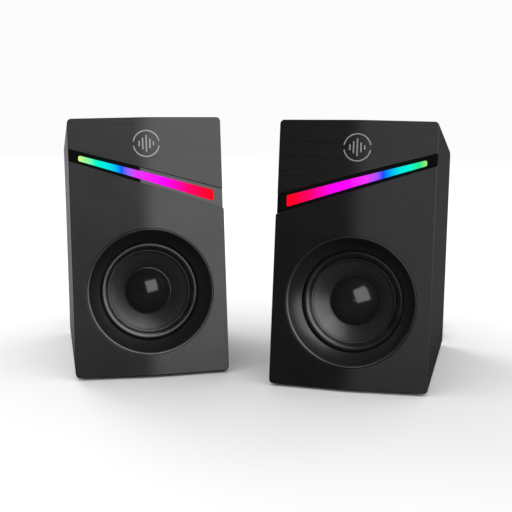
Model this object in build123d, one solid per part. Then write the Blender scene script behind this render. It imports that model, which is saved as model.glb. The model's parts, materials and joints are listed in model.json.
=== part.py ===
from build123d import *
import os
from math import cos, radians, sin, sqrt, tan, pi

# A pair of small desktop speakers: a satellite and a main speaker, whose shared pieces
# are the satellite's mirrored.
# Each one is drawn in its own frame: X across the face, Y from the face to the
# rear, Z up along the leaning face, origin at the middle of the face's foot.
# It is then leaned back, turned towards the listener and set on the desk.
# Millimetres and degrees.

# ---- whole pair ----
LEAN = 9.64                 # the face leans back this far
SAT_YAW, MAIN_YAW = 11.27, -13.74
SAT_AT, MAIN_AT = (-53.625, 13.29), (53.625, -13.29)
SHIFT_X, SHIFT_Y = -2.569, -75.200   # puts the origin at the middle of the pair's footprint

# ---- cabinet ----
FACE_W, FACE_H = 86.0, 144.0
DEPTH = 105.0               # face reference plane to rear face
TOP_SLOPE = 3.3             # the top falls by this angle towards the rear
PROUD = 2.55                # the lower panel stands in front of the upper one
CREASE = 2.6                # the face's middle stands in front of its sides
CREASE_HALF = 5.5           # half width of the soft bend
CORNER_R = 2.3
EDGE_R = 0.35               # softened outline of the panels' fronts
REAR_TOP_R, REAR_LOW_R = 5.5, 3.0
PANEL_BACK = 3.0            # back of the front panels, front of the baffle
PANEL_SKIN, PANEL_SIDE = 2.4, 2.2   # panel thickness in front, and at sides and groove
BAFFLE_T = 5.2
WALL = 3.0
RIM = 7.0                   # width of the shell's rim round the rear cover
LEDGE = 2.0                 # ledge the rear cover sits on
COVER_T = 2.8
COVER_SEAT = 4.0            # seat depth from the rear face
COVER_SINK = 1.5            # depth of the screw heads' seats in the cover
FOOT_R, FOOT_T = 5.5, 1.5
FOOT_X, FOOT_YS = 33.0, (12.0, 92.0)

# ---- diagonal groove and light bar (x grows to the low end) ----
GROOVE_TOP_Z = (127.1, 103.25)   # upper side of the groove at the face's two side edges
GROOVE_LOW_Z = (120.5, 92.1)     # lower side of the groove, likewise
TOP_FALL, LOW_FALL = 0.2774, 0.3302   # fall per mm of the panels' edges beyond the face
GROOVE_DEEP = 0.8
BAR = ((-37.4, 120.55), (37.7, 96.45), (37.7, 102.75), (-37.4, 123.55))   # (x, z)
BAR_R = 0.9
BAR_SLOPE = -0.2990         # slope of the bar's middle line
BAR_MID_X, BAR_MID_Z = 0.15, 110.8

# ---- driver ----
DRV_Z = 46.5
BEZEL_R, BEZEL_EDGE_R, BEZEL_EDGE_Y = 35.3, 34.9, -2.4
MOUTH_R, MOUTH_Y = 27.9, 4.5
BEZEL_BOW = 0.6             # bulge of the bezel's face
NOSE_R, SKIRT_R = 29.5, 31.5    # the bezel's back: end of its nose, foot of its skirt
BAFFLE_HOLE_R = 28.6
DRV_BACK = 2.25             # the driver unit sits this far behind its drawn place
ROLL_R, ROLL_H, ROLL_T = 25.5, 2.2, 0.5
ROLL_Y = 5.15
SURROUND_IN_R, SURROUND_OUT_R = 21.8, 28.3
CONE_R, CONE_Y, CONE_T = 23.3, 5.5, 0.6
NECK_R, NECK_Y = 9.95, 14.9
CAP_R, CAP_Y, CAP_TOP, CAP_T = 13.1, 11.15, 7.15, 0.5
COIL_R, FORMER_R, WINDING_R = 9.5, 9.9, 10.5
SPIDER_T = 0.45
FLANGE_R, FLANGE_Y, FLANGE_T = 33.5, 6.8, 1.4
DRV_SCREW_R = 31.0          # pitch radius of the driver screws

# ---- rear controls of the main speaker ----
KNOB_X, BUTTON_X, SOCKET_X, CTRL_Z = -17.0, 2.0, 19.0, 100.0
BOARD_FRONT, BOARD_REAR = 88.4, 90.0
PARTS_REAR = 88.3           # rear of the parts in front of the board
PARTS_FRONT = 90.1          # front of the parts behind the board
KNOB_R, KNOB_FRONT, KNOB_REAR = 8.5, 106.2, 117.0
SHAFT_R, SHAFT_GAP, SHAFT_END = 3.0, 0.05, 114.0
BUTTON_R, BUTTON_GAP, BUTTON_TRAVEL = 3.02, 0.08, 0.8
SWITCH_REAR = 93.1
SOCKET_R, SOCKET_DEPTH = 1.80, 12.0

# ---- cables, lying on the desk behind each cabinet ----
GROMMET_Z = 38.0
CABLE_R = 1.6
HANK_Y, HANK_LONG, HANK_WIDE, HANK_THICK = 134.0, 72.0, 32.0, 12.0
HANK_BAND = 11.0            # width of the bundle
HANK_END = 20.0             # x where the plug leads leave the bundle
PLUG_X = 9.0                # x where the plugs begin
PLUG_R, SHANK_R = 1.75, 1.4
AUDIO_Z, USB_Z = 4.35, 4.7  # heights of the plugs' axes above the desk
AUDIO_Y, USB_Y, LINK_Y = 172.15, 158.0, 160.0

COS_L, SIN_L, TAN_L = cos(radians(LEAN)), sin(radians(LEAN)), tan(radians(LEAN))
HALF_W = FACE_W / 2
SLOPE = CREASE / (HALF_W - CREASE_HALF / 2)
LIFT = FOOT_T - PROUD * SIN_L       # desk to the face's foot
DESK = -LIFT
COVER_OUT = DEPTH - COVER_SEAT + COVER_T
GRIP_END = COVER_OUT + 6.0          # rear end of the grommet
REACH = 60.0                        # half width of cutters wider than the face


# ---------------------------------------------------------------- helpers
def foot_z(y):
    return (y + PROUD) * TAN_L


def top_z(y):
    return FACE_H - y * tan(radians(TOP_SLOPE))


def bar_z(x):
    """Height of the light bar's middle line."""
    return BAR_MID_Z + (x - BAR_MID_X) * BAR_SLOPE


def box(x_min, x_max, y_min, y_max, z_min, z_max):
    middle = Pos((x_min + x_max) / 2, (y_min + y_max) / 2, (z_min + z_max) / 2)
    return middle * Box(x_max - x_min, y_max - y_min, z_max - z_min)


def cyl(radius, front, rear, x=0.0, z=0.0):
    """A cylinder along Y."""
    return Pos(x, (front + rear) / 2, z) * Rot(90, 0, 0) * Cylinder(radius, rear - front)


def turned_edges(edges, x=0.0, z=DRV_Z):
    """Closed edges in (radius, y) turned about an axis along Y."""
    return Pos(x, 0, z) * revolve(make_face(Wire(edges)), axis=Axis.Y, revolution_arc=360)


def turned(points, x=0.0, z=DRV_Z):
    """A closed outline of (radius, y) points turned about an axis along Y."""
    face = make_face(Polyline(*points, close=True))
    return Pos(x, 0, z) * revolve(face, axis=Axis.Y, revolution_arc=360)


def solids_of(*shapes):
    solids = []
    for shape in shapes:
        solids += list(shape.solids())
    return solids[0] if len(solids) == 1 else Compound(solids)


def side_prism(front, rear, inset=0.0):
    """The cabinet's side outline between two depths, drawn in by inset, across the width."""
    low, top = inset / COS_L, inset / cos(radians(TOP_SLOPE))
    outline = [
        (front, foot_z(front) + low),
        (rear, foot_z(rear) + low),
        (rear, top_z(rear) - top),
        (front, top_z(front) - top),
    ]
    face = Plane.YZ * make_face(Polyline(*outline, close=True))
    return extrude(face, amount=HALF_W - inset, both=True)


def crease_edges(stand, soft, half):
    """The bent front line of the face in X, Y, standing `stand` in front of the side edges."""
    def y_at(x):
        return -stand - SLOPE * (HALF_W - abs(x))

    if not soft:
        return [Line((-half, y_at(half)), (0, y_at(0))), Line((0, y_at(0)), (half, y_at(half)))]
    bend = CREASE_HALF
    y_middle = y_at(bend) - SLOPE * bend / 2
    return [
        Line((-half, y_at(half)), (-bend, y_at(bend))),
        ThreePointArc((-bend, y_at(bend)), (0, y_middle), (bend, y_at(bend))),
        Line((bend, y_at(bend)), (half, y_at(half))),
    ]


def creased(stand, back, z_min, z_max, soft=True, half=HALF_W + 2):
    """A slab with the bent front and a flat back, from z_min to z_max."""
    front = crease_edges(stand, soft, half)
    start, end = front[0] @ 0, front[-1] @ 1
    edges = front + [
        Line((end.X, end.Y), (end.X, back)),
        Line((end.X, back), (start.X, back)),
        Line((start.X, back), (start.X, start.Y)),
    ]
    face = Pos(0, 0, z_min) * make_face(Wire(edges))
    return extrude(face, amount=z_max - z_min, dir=(0, 0, 1))


def through(points, front=-12.0, rear=20.0, grow=0.0, corner_r=0.0):
    """A flat outline of (x, z) points pushed through the face along Y."""
    face = make_face(Polyline(*points, close=True))
    if corner_r:
        face = fillet(face.vertices(), corner_r)
    if grow:
        face = offset(face, amount=grow, kind=Kind.INTERSECTION)
    face = Plane(origin=(0, front, 0), x_dir=(1, 0, 0), z_dir=(0, -1, 0)) * face
    return extrude(face, amount=rear - front, dir=(0, 1, 0))


def bent_wire(points, radius, bend):
    """A round wire of straight runs joined by arcs."""
    path = FilletPolyline(*points, radius=bend)
    return sweep(Plane(origin=path @ 0, z_dir=path % 0) * Circle(radius), path=path)


def leaned(shape):
    """From desk-level directions to the cabinet's own leaning frame."""
    return Rot(LEAN, 0, 0) * shape


def to_level(x, y, z):
    """From a point in the cabinet's leaning frame to desk-level directions."""
    return (x, y * COS_L + z * SIN_L, -y * SIN_L + z * COS_L)


def soften(solid, chosen, radius):
    """Rounds the chosen edges; keeps the solid as it is where the fillet fails."""
    try:
        done = fillet(chosen(solid), radius)
        return done if done.is_valid and done.volume > 0 else solid
    except Exception:
        return solid


def edges_at_y(y):
    """A chooser of the edges centred on a given depth."""
    return lambda solid: [e for e in solid.edges() if abs(e.center().Y - y) < 0.01]


# ---------------------------------------------------------------- cabinet
def rear_edges(body):
    """Edges across the rear face, lowest first."""
    edges = [e for e in body.edges().filter_by(Axis.X) if abs(e.center().Y - DEPTH) < 0.01]
    return sorted(edges, key=lambda e: e.center().Z)


def make_envelope():
    """The rounded outside of the cabinet, longer in front than the face."""
    front = -9.0
    body = side_prism(front, DEPTH)
    body = fillet([rear_edges(body)[1]], REAR_TOP_R)
    body = fillet([rear_edges(body)[0]], REAR_LOW_R)
    rims = [
        e for e in body.edges()
        if abs(abs(e.center().X) - HALF_W) < 0.01 and e.center().Y > front + 0.1
    ]
    return fillet(rims, CORNER_R)


ENVELOPE = make_envelope()
# (x, z) of the screw posts and of the driver screws
BOSSES = [
    (side * (HALF_W - 12.5), z)
    for side in (-1, 1)
    for z in (foot_z(DEPTH) + 13.0, top_z(DEPTH) - 12.6)
]
DRV_SCREWS = [
    (DRV_SCREW_R * side * 0.70711, DRV_Z + DRV_SCREW_R * level * 0.70711)
    for side in (-1, 1)
    for level in (-1, 1)
]


def make_shell():
    """Tub with the baffle at its front, four screw posts and a seat for the rear cover."""
    shell = ENVELOPE & box(-REACH, REACH, PANEL_BACK, DEPTH + 10, -20, 170)
    shell -= side_prism(PANEL_BACK + BAFFLE_T, DEPTH - 8.0, WALL)
    shell -= side_prism(DEPTH - 20.0, DEPTH + 5.0, RIM + LEDGE)
    shell -= side_prism(DEPTH - COVER_SEAT, DEPTH + 5.0, RIM)
    post_front = DEPTH - 24.0
    for x, z in BOSSES:     # a post and the rib that ties it to the side wall
        wall_x = (HALF_W - 2.0) * (1 if x > 0 else -1)
        shell += cyl(4.2, post_front, DEPTH - COVER_SEAT, x, z)
        shell += box(min(x, wall_x), max(x, wall_x), post_front, DEPTH - 6.0, z - 1.3, z + 1.3)
    for x, z in BOSSES:
        shell -= cyl(1.55, DEPTH - 18.0, DEPTH, x, z)
    shell -= cyl(BAFFLE_HOLE_R, 0, 20, 0, DRV_Z)
    funnel_front, funnel_rear = PANEL_BACK - 1.0, PANEL_BACK + 3.25
    shell -= turned([
        (0, funnel_front), (SKIRT_R + 1.35, funnel_front),
        (BAFFLE_HOLE_R, funnel_rear), (0, funnel_rear),
    ])
    shell -= through(BAR, 0, 12, grow=0.6)
    for x, z in DRV_SCREWS:
        shell -= cyl(1.35, PANEL_BACK + 2.7, 12, x, z)
    return shell


def front_outline(stand):
    """Chooses the edges round a panel's bent front face."""
    def on_front(point):
        x = abs(point.X)
        flat = -stand - SLOPE * (HALF_W - x)
        return (abs(point.Y - flat) < 0.01
                or (x < CREASE_HALF and flat - 0.01 < point.Y < flat + 0.25))

    def chosen(solid):
        return [
            e for e in solid.edges()
            if all(on_front(e @ k) for k in (0.0, 0.25, 0.5, 0.75, 1.0))
            and not (abs((e % 0.5).Z) > 0.95 and abs(e.center().X) < CREASE_HALF + 1)
        ]

    return chosen


def panel_edge(heights, fall, shift=0.0):
    """A side of the groove as two (x, z) points, carried on to the cutters' reach."""
    beyond = fall * (REACH - HALF_W)
    left, right = heights
    return [(-REACH, left + beyond + shift), (REACH, right - beyond + shift)]


def make_upper_panel():
    above = panel_edge(GROOVE_TOP_Z, TOP_FALL) + [(REACH, 170), (-REACH, 170)]
    panel = ENVELOPE & creased(0.0, PANEL_BACK, 60, 170) & through(above)
    panel = soften(panel, front_outline(0.0), EDGE_R)
    inside = creased(-PANEL_SKIN, PANEL_BACK + 1, 60, 170, half=HALF_W - PANEL_SIDE)
    hollow = panel_edge(GROOVE_TOP_Z, TOP_FALL, PANEL_SIDE) + [(REACH, 140.6), (-REACH, 140.6)]
    return panel - (inside & through(hollow))


def make_lower_panel():
    below = [(-REACH, -20), (REACH, -20)] + panel_edge(GROOVE_LOW_Z, LOW_FALL)[::-1]
    panel = ENVELOPE & creased(PROUD, PANEL_BACK, -20, 140) & through(below)
    panel -= cyl(BEZEL_R + 0.05, -20, 20, 0, DRV_Z)
    panel = soften(panel, front_outline(PROUD), EDGE_R)
    inside = creased(PROUD - PANEL_SKIN, PANEL_BACK + 1, -20, 140, half=HALF_W - PANEL_SIDE)
    hollow = [(-REACH, 3.6), (REACH, 3.6)]
    hollow += panel_edge(GROOVE_LOW_Z, LOW_FALL, -PANEL_SIDE)[::-1]
    return panel - ((inside & through(hollow)) - cyl(BEZEL_R + PANEL_SIDE, -20, 20, 0, DRV_Z))


def groove_band(shrink):
    """Outline of the groove across the whole face and a little beyond."""
    beyond = 3.0
    (top_left, top_right), (low_left, low_right) = GROOVE_TOP_Z, GROOVE_LOW_Z
    top_rise = (top_right - top_left) / FACE_W * beyond
    low_rise = (low_right - low_left) / FACE_W * beyond
    half = HALF_W + beyond
    return [
        (-half, low_left - low_rise + shrink),
        (half, low_right + low_rise + shrink),
        (half, top_right + top_rise - shrink),
        (-half, top_left - top_rise - shrink),
    ]


def make_groove_strip():
    slab = creased(-GROOVE_DEEP, PANEL_BACK, 60, 140, soft=False)
    strip = ENVELOPE & slab & through(groove_band(0.03))
    strip -= through(BAR, grow=0.05, corner_r=BAR_R)
    return strip


def make_light_bar():
    return creased(-GROOVE_DEEP + 0.25, 7.0, 60, 140, soft=False) & through(BAR, corner_r=BAR_R)


def make_bezel():
    across, back = MOUTH_R - BEZEL_EDGE_R, MOUTH_Y - BEZEL_EDGE_Y
    length = sqrt(across * across + back * back)
    middle = (
        (BEZEL_EDGE_R + MOUTH_R) / 2 + BEZEL_BOW * back / length,
        (BEZEL_EDGE_Y + MOUTH_Y) / 2 - BEZEL_BOW * across / length,
    )
    edge, mouth = (BEZEL_EDGE_R, BEZEL_EDGE_Y), (MOUTH_R, MOUTH_Y)
    ring = turned_edges([
        ThreePointArc(edge, middle, mouth),
        Line(mouth, (NOSE_R, MOUTH_Y)),
        Line((NOSE_R, MOUTH_Y), (SKIRT_R, PANEL_BACK)),
        Line((SKIRT_R, PANEL_BACK), (BEZEL_R, PANEL_BACK)),
        Line((BEZEL_R, PANEL_BACK), (BEZEL_R, BEZEL_EDGE_Y)),
        Line((BEZEL_R, BEZEL_EDGE_Y), edge),
    ])
    front_edges = edges_at_y(BEZEL_EDGE_Y)
    longest = 2 * pi * (BEZEL_EDGE_R + 0.02)    # leaves out the outer front edge
    return soften(ring, lambda s: [e for e in front_edges(s) if e.length < longest], 0.15)


def cover_hole(radius, x, z, front=90.0):
    return cyl(radius, front, DEPTH + 5, x, z)


def make_rear_cover(main):
    cover = side_prism(DEPTH - COVER_SEAT, COVER_OUT, RIM + 0.15)
    for x, z in BOSSES:
        cover -= cover_hole(1.7, x, z)
        cover -= cover_hole(3.3, x, z, front=COVER_OUT - COVER_SINK)
    cover -= cover_hole(4.05, 0, GROMMET_Z)
    if main:
        cover -= cover_hole(3.6, KNOB_X, CTRL_Z)
        cover -= cover_hole(BUTTON_R + BUTTON_GAP, BUTTON_X, CTRL_Z)
        cover -= cover_hole(3.15, SOCKET_X, CTRL_Z)
    return cover


def screw(head_r, head_h, shank_r, shank, x, z, seat):
    """A pan-head screw with a cross recess, its head to the rear of the seat."""
    top = seat + head_h
    head = soften(cyl(head_r, seat, top, x, z), edges_at_y(top), head_h * 0.45)
    body = head + cyl(shank_r, seat - shank, seat + 0.1, x, z)
    floor, above = top - head_h * 0.6, top + 0.5
    thin, long = 0.3, head_r * 0.62     # half sizes of the cross's arms
    upright = box(x - thin, x + thin, floor, above, z - long, z + long)
    level = box(x - long, x + long, floor, above, z - thin, z + thin)
    return body - upright - level


def make_cover_screws():
    seat = COVER_OUT - COVER_SINK
    return solids_of(*[screw(2.9, 1.4, 1.5, 12.0, x, z, seat) for x, z in BOSSES])


def make_driver_screws():
    seat = FLANGE_Y + FLANGE_T
    return solids_of(*[screw(2.6, 1.5, 1.3, 4.4, x, z, seat) for x, z in DRV_SCREWS])


def make_feet():
    def lower_rim(pad):
        return [e for e in pad.edges() if e.center().Z < DESK + 0.1 and e.length > 10]

    feet = []
    for side in (-1, 1):
        for y in FOOT_YS:
            pad = Pos(side * FOOT_X, y, DESK + FOOT_T / 2) * Cylinder(FOOT_R, FOOT_T)
            feet.append(leaned(soften(pad, lower_rim, 0.4)))
    return solids_of(*feet)


def make_led_board():
    """A sloping board behind the light bar with eight LEDs on its front."""
    half, half_tall, thick = 39.0, 5.2, 1.2
    outline = []
    for side, level in ((-1, -1), (1, -1), (1, 1), (-1, 1)):
        x = BAR_MID_X + side * half
        outline.append((x, bar_z(x) + level * half_tall))
    front = PANEL_BACK + BAFFLE_T + 1.2
    board = through(outline, front, front + thick)
    for x in (-37.0, 37.3):
        board -= cyl(0.9, 0, 20, x, bar_z(x) + 3.2)
    leds = []
    for i in range(8):
        x = BAR_MID_X - 33.0 + i * 9.43
        z = bar_z(x)
        leds.append(box(x - 1.4, x + 1.4, front - 0.8, front, z - 1.0, z + 1.0))
    return solids_of(board, *leds)


# ---------------------------------------------------------------- driver, profiles in (radius, y)
def drill_driver_screws(body):
    for x, z in DRV_SCREWS:
        body -= cyl(1.6, 0, 12, x, z)
    return body


def make_basket():
    body = turned([
        (FLANGE_R, FLANGE_Y), (FLANGE_R, FLANGE_Y + FLANGE_T), (28.4, FLANGE_Y + FLANGE_T),
        (25.6, 12.5), (23.2, 17.4), (22.4, 21.2), (11.6, 21.2), (11.6, 20.0), (21.0, 20.0),
        (21.0, 18.4), (19.6, 18.4), (19.6, 17.6), (21.9, 17.6), (24.3, 12.2), (27.4, 7.6),
        (27.4, 5.42), (28.3, 5.42), (28.3, FLANGE_Y),
    ])
    for k in range(6):
        body -= Pos(0, 0, DRV_Z) * Rot(0, 60 * k + 30, 0) * box(-6.0, 6.0, 9.6, 16.6, 15, 40)
    return drill_driver_screws(body)


def make_gasket():
    front = PANEL_BACK + BAFFLE_T - DRV_BACK
    return drill_driver_screws(turned([
        (28.9, front), (FLANGE_R, front), (FLANGE_R, FLANGE_Y), (28.9, FLANGE_Y),
    ]))


def make_top_plate():
    return turned([(11.0, 21.2), (18.5, 21.2), (18.5, 24.2), (11.0, 24.2)])


def make_magnet():
    return turned([
        (12.5, 24.2), (19.5, 24.2), (20.0, 24.7), (20.0, 31.7), (19.5, 32.2), (12.5, 32.2),
    ])


def make_yoke():
    return turned([
        (0, 21.0), (8.7, 21.0), (9.1, 21.4), (9.1, 32.2),
        (18.5, 32.2), (18.5, 34.8), (18.1, 35.2), (0, 35.2),
    ])


def make_cone():
    rim, bend, neck = (CONE_R, CONE_Y), (22.0, CONE_Y), (NECK_R, NECK_Y)
    neck_back = (NECK_R, NECK_Y + CONE_T * 1.3)
    bend_back = (21.8, CONE_Y + CONE_T * 1.1)
    rim_back = (CONE_R, CONE_Y + CONE_T * 1.1)
    return turned_edges([
        Line(rim, bend),
        ThreePointArc(bend, (16.4, 9.27), neck),
        Line(neck, neck_back),
        ThreePointArc(neck_back, (16.2, 9.27 + CONE_T * 1.3), bend_back),
        Line(bend_back, rim_back),
        Line(rim_back, rim),
    ])


def make_dust_cap():
    """A thin dome glued to the cone by its rim."""
    rise = CAP_Y - CAP_TOP
    dome_r = (CAP_R**2 + rise**2) / (2 * rise)
    centre = Pos(0, CAP_TOP + dome_r, DRV_Z) * Rot(90, 0, 0)
    dome = centre * Sphere(dome_r) - centre * Sphere(dome_r - CAP_T)
    return dome & cyl(CAP_R, CAP_TOP - 1, CAP_Y + 2, 0, DRV_Z)


def make_voice_coil():
    return turned([
        (COIL_R, 14.0), (FORMER_R, 14.0), (FORMER_R, 20.6), (WINDING_R, 20.6),
        (WINDING_R, 26.6), (FORMER_R, 26.6), (FORMER_R, 27.0), (COIL_R, 27.0),
    ])


def make_surround():
    inner_h = ROLL_H - ROLL_T
    front, back, roll_back = ROLL_Y - 0.25, ROLL_Y + 0.25, ROLL_Y + 0.3
    front_out, front_in = (ROLL_R + ROLL_H, front), (ROLL_R - ROLL_H, front)
    back_in, back_out = (ROLL_R - inner_h, roll_back), (ROLL_R + inner_h, roll_back)
    step = (ROLL_R + inner_h, back)
    return turned_edges([
        Line((SURROUND_OUT_R, front), front_out),
        ThreePointArc(front_out, (ROLL_R, ROLL_Y - ROLL_H - 0.1), front_in),
        Line(front_in, (SURROUND_IN_R, front)),
        Line((SURROUND_IN_R, front), (SURROUND_IN_R, roll_back)),
        Line((SURROUND_IN_R, roll_back), back_in),
        ThreePointArc(back_in, (ROLL_R, ROLL_Y - inner_h - 0.1), back_out),
        Line(back_out, step),
        Line(step, (SURROUND_OUT_R, back)),
        Line((SURROUND_OUT_R, back), (SURROUND_OUT_R, front)),
    ])


def make_spider():
    """A corrugated disc; the stations follow its middle surface."""
    stations = [
        (10.02, 17.1), (11.0, 17.1), (12.2, 16.2), (13.4, 17.6), (14.6, 16.2),
        (15.8, 17.6), (17.0, 16.2), (18.2, 17.6), (19.4, 17.1), (21.4, 17.1),
    ]
    front = [(radius, y - SPIDER_T / 2) for radius, y in stations]
    back = [(radius, y + SPIDER_T / 2) for radius, y in stations]
    return turned(front + back[::-1])


def make_driver_wires(main):
    """Two wires from the basket to the amplifier (main) or the grommet (satellite)."""
    wires = []
    for gap in (0.0, 2.6):
        points = [
            (24.6 + gap * 0.4, 14.0, DRV_Z + 13.0 + gap),
            (27.0 + gap * 0.3, 24.0, DRV_Z + 15.0 + gap),
            (22.0, 50.0, DRV_Z + 10.0 + gap * 1.2),
        ]
        if main:
            points += [(10.0 + gap, 74.0, DRV_Z + 14.0), (5.0 + gap, 80.0, 86.0)]
        else:
            points += [(8.0 + gap, 80.0, 52.0), (-1.3 + gap, 88.4, GROMMET_Z + 1.0)]
        wires.append(bent_wire(points, 0.65, 5.0))
    return solids_of(*wires)


# ---------------------------------------------------------------- main speaker's electronics
def make_amp_board():
    board = box(-29, 29, BOARD_FRONT, BOARD_REAR, 80.0, 112.0)
    board -= cyl(1.3, 80, 95, -26, 83) + cyl(1.3, 80, 95, 26, 83)
    return board


def make_amp_parts():
    parts = []
    can_front = 77.5
    for x in (-22.0, -11.0):
        can = cyl(4.0, can_front, PARTS_REAR, x, 98.0)
        parts.append(soften(can, edges_at_y(can_front), 0.5))
    parts.append(box(-2, 8, 86.6, PARTS_REAR, 92, 102))
    coil = cyl(4.6, 82.3, PARTS_REAR, 18.0, 98.0) - cyl(2.0, 80, 90, 18.0, 98.0)
    parts.append(coil)
    parts.append(box(22.5, 28, 81.5, PARTS_REAR, 83.2, 95))
    parts.append(box(-28, -14, 82.5, PARTS_REAR, 86, 91.5))
    for i in range(5):
        parts.append(box(-8 + i * 3.4, -6.2 + i * 3.4, 87.6, PARTS_REAR, 105.5, 106.6))
    # body of the push switch in front of the mode button
    parts.append(
        box(BUTTON_X - 3, BUTTON_X + 3, PARTS_FRONT, SWITCH_REAR, CTRL_Z - 3, CTRL_Z + 3)
    )
    return solids_of(*parts)


def make_pot():
    """Potentiometer body with its threaded neck, and the nut on the rear cover."""
    body = box(KNOB_X - 5.5, KNOB_X + 5.5, PARTS_FRONT, 97.4, CTRL_Z - 6, CTRL_Z + 5.5)
    body += cyl(3.4, 97.3, 105.4, KNOB_X, CTRL_Z)
    body -= cyl(SHAFT_R + SHAFT_GAP, 92.0, 110, KNOB_X, CTRL_Z)
    seat = Plane(origin=(KNOB_X, COVER_OUT + 0.02, CTRL_Z), x_dir=(1, 0, 0), z_dir=(0, 1, 0))
    hexagon = seat * RegularPolygon(5.4, 6)
    nut = extrude(hexagon, amount=1.6, dir=(0, 1, 0)) - cyl(3.45, 90, 120, KNOB_X, CTRL_Z)
    return solids_of(body, nut)


def make_pot_shaft():
    return soften(cyl(SHAFT_R, 92.4, SHAFT_END, KNOB_X, CTRL_Z), edges_at_y(SHAFT_END), 0.4)


def make_knob():
    knob = cyl(KNOB_R, KNOB_FRONT, KNOB_REAR, KNOB_X, CTRL_Z)
    knob = soften(knob, edges_at_y(KNOB_REAR), 1.2)
    knob -= cyl(SHAFT_R + 0.01, KNOB_FRONT - 1, SHAFT_END + 0.02, KNOB_X, CTRL_Z)
    knob -= cyl(6.2, KNOB_FRONT - 1, KNOB_FRONT + 1.0, KNOB_X, CTRL_Z)
    groove = cyl(0.42, KNOB_FRONT + 1.5, KNOB_REAR - 1.4, 0, KNOB_R + 0.12)
    for k in range(24):
        knob -= Pos(KNOB_X, 0, CTRL_Z) * Rot(0, 15 * k, 0) * groove
    # pointer line in the rear end, running out over the upper rim
    knob -= box(
        KNOB_X - 0.45, KNOB_X + 0.45, KNOB_REAR - 0.5, KNOB_REAR + 1,
        CTRL_Z + 3.2, CTRL_Z + KNOB_R + 1,
    )
    return knob


def make_button():
    """Mode button: cap, collar inside the cover and a stem towards the switch."""
    end = COVER_OUT + 1.5
    button = soften(cyl(BUTTON_R, 99.0, end, BUTTON_X, CTRL_Z), edges_at_y(end), 0.5)
    button += cyl(4.2, 98.6, 100.0, BUTTON_X, CTRL_Z)
    button += cyl(1.5, SWITCH_REAR + BUTTON_TRAVEL + 0.05, 98.8, BUTTON_X, CTRL_Z)
    return button


def make_socket():
    end = COVER_OUT + 0.3
    body = box(SOCKET_X - 4.5, SOCKET_X + 4.5, PARTS_FRONT, 99.4, CTRL_Z - 3.5, CTRL_Z + 3.5)
    body += cyl(3.05, 99.3, end, SOCKET_X, CTRL_Z)
    body -= cyl(SOCKET_R, end - SOCKET_DEPTH, 120, SOCKET_X, CTRL_Z)
    body -= turned([    # flared mouth
        (0, COVER_OUT - 0.2), (SOCKET_R, COVER_OUT - 0.2),
        (SOCKET_R + 0.5, COVER_OUT + 0.4), (0, COVER_OUT + 0.4),
    ], SOCKET_X, CTRL_Z)
    return body


def make_grommet():
    bore = CABLE_R + 0.1
    return turned([
        (bore, 99.6), (4.6, 99.6), (4.6, 100.9), (3.95, 100.9), (3.95, COVER_OUT + 0.02),
        (5.4, COVER_OUT + 0.02), (5.4, COVER_OUT + 1.2), (4.4, COVER_OUT + 1.6),
        (3.2, GRIP_END), (bore, GRIP_END),
    ], 0, GROMMET_Z)


# ---------------------------------------------------------------- cables
# Drawn in desk-level directions. `way` is the X direction in which the plugs point.
def make_hank():
    """The bundled cable as one ring."""
    ring = extrude(SlotOverall(HANK_LONG, HANK_WIDE), amount=HANK_THICK)
    hole = SlotOverall(HANK_LONG - 2 * HANK_BAND, HANK_WIDE - 2 * HANK_BAND)
    ring -= extrude(hole, amount=HANK_THICK)
    ring = soften(ring, lambda s: [e for e in s.edges() if abs(e.tangent_at(0.5).Z) < 0.1], 4.0)
    return Pos(0, HANK_Y, DESK + 0.15) * ring


def make_lead(way):
    """From inside the cabinet, through the grommet and down to the hank."""
    x_end = way * 10.0
    inner = to_level(0, 92.0, GROMMET_Z)
    gate = to_level(0, GRIP_END, GROMMET_Z)
    outwards = (0, COS_L, -SIN_L)
    straight = Edge.make_line(inner, gate)
    bend = Spline(
        gate,
        (x_end * 0.5, gate[1] + 7.5, gate[2] - 5.0),
        (x_end, HANK_Y - 9.0, DESK + 6.5),
        tangents=(outwards, (way * 0.4, 0.3, -0.9)),
    )
    path = Wire([straight, bend.edge()])
    return sweep(Plane(origin=inner, z_dir=outwards) * Circle(CABLE_R), path=path)


def plug_lead(way, y_plug, plug_height, y_offset):
    """Out of the hank's end, round and back to a plug lying behind it."""
    x, y, z = -way * HANK_END, HANK_Y + y_offset, DESK + plug_height
    turn_r = (y_plug - y) / 2
    turn = ThreePointArc((x, y, z), (x - way * turn_r, y + turn_r, z), (x, y_plug, z))
    run = Edge.make_line((x, y_plug, z), (-way * (PLUG_X - 0.1), y_plug, z))
    path = Wire([turn.edge(), run])
    return sweep(Plane(origin=(x, y, z), z_dir=(-way, 0, 0)) * Circle(CABLE_R), path=path)


def audio_rod(way, y, radius, start, end):
    """A round length of an audio plug, measured from where the plug begins."""
    low, high = sorted((way * (start - PLUG_X), way * (end - PLUG_X)))
    return Pos((low + high) / 2, y, DESK + AUDIO_Z) * Rot(0, 90, 0) * Cylinder(radius, high - low)


def audio_grip(way, y):
    grip = audio_rod(way, y, 4.2, 7.5, 24)
    grip = soften(grip, lambda s: [e for e in s.edges() if e.length > 20], 1.0)
    body = audio_rod(way, y, 2.5, 0, 8) + grip + audio_rod(way, y, 2.9, 23.9, 25.5)
    return body - audio_rod(way, y, SHANK_R + 0.01, 19.0, 30)


def audio_pin(way, y):
    """The 3.5 mm pin, held in its grip and pointing outwards."""
    length = 39.5
    tip = way * (length - PLUG_X)
    pin = audio_rod(way, y, PLUG_R, 25.55, length)
    pin = soften(pin, lambda s: [e for e in s.edges() if abs(e.center().X - tip) < 0.01], 0.9)
    return pin + audio_rod(way, y, SHANK_R, 19.1, 25.6)


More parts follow.
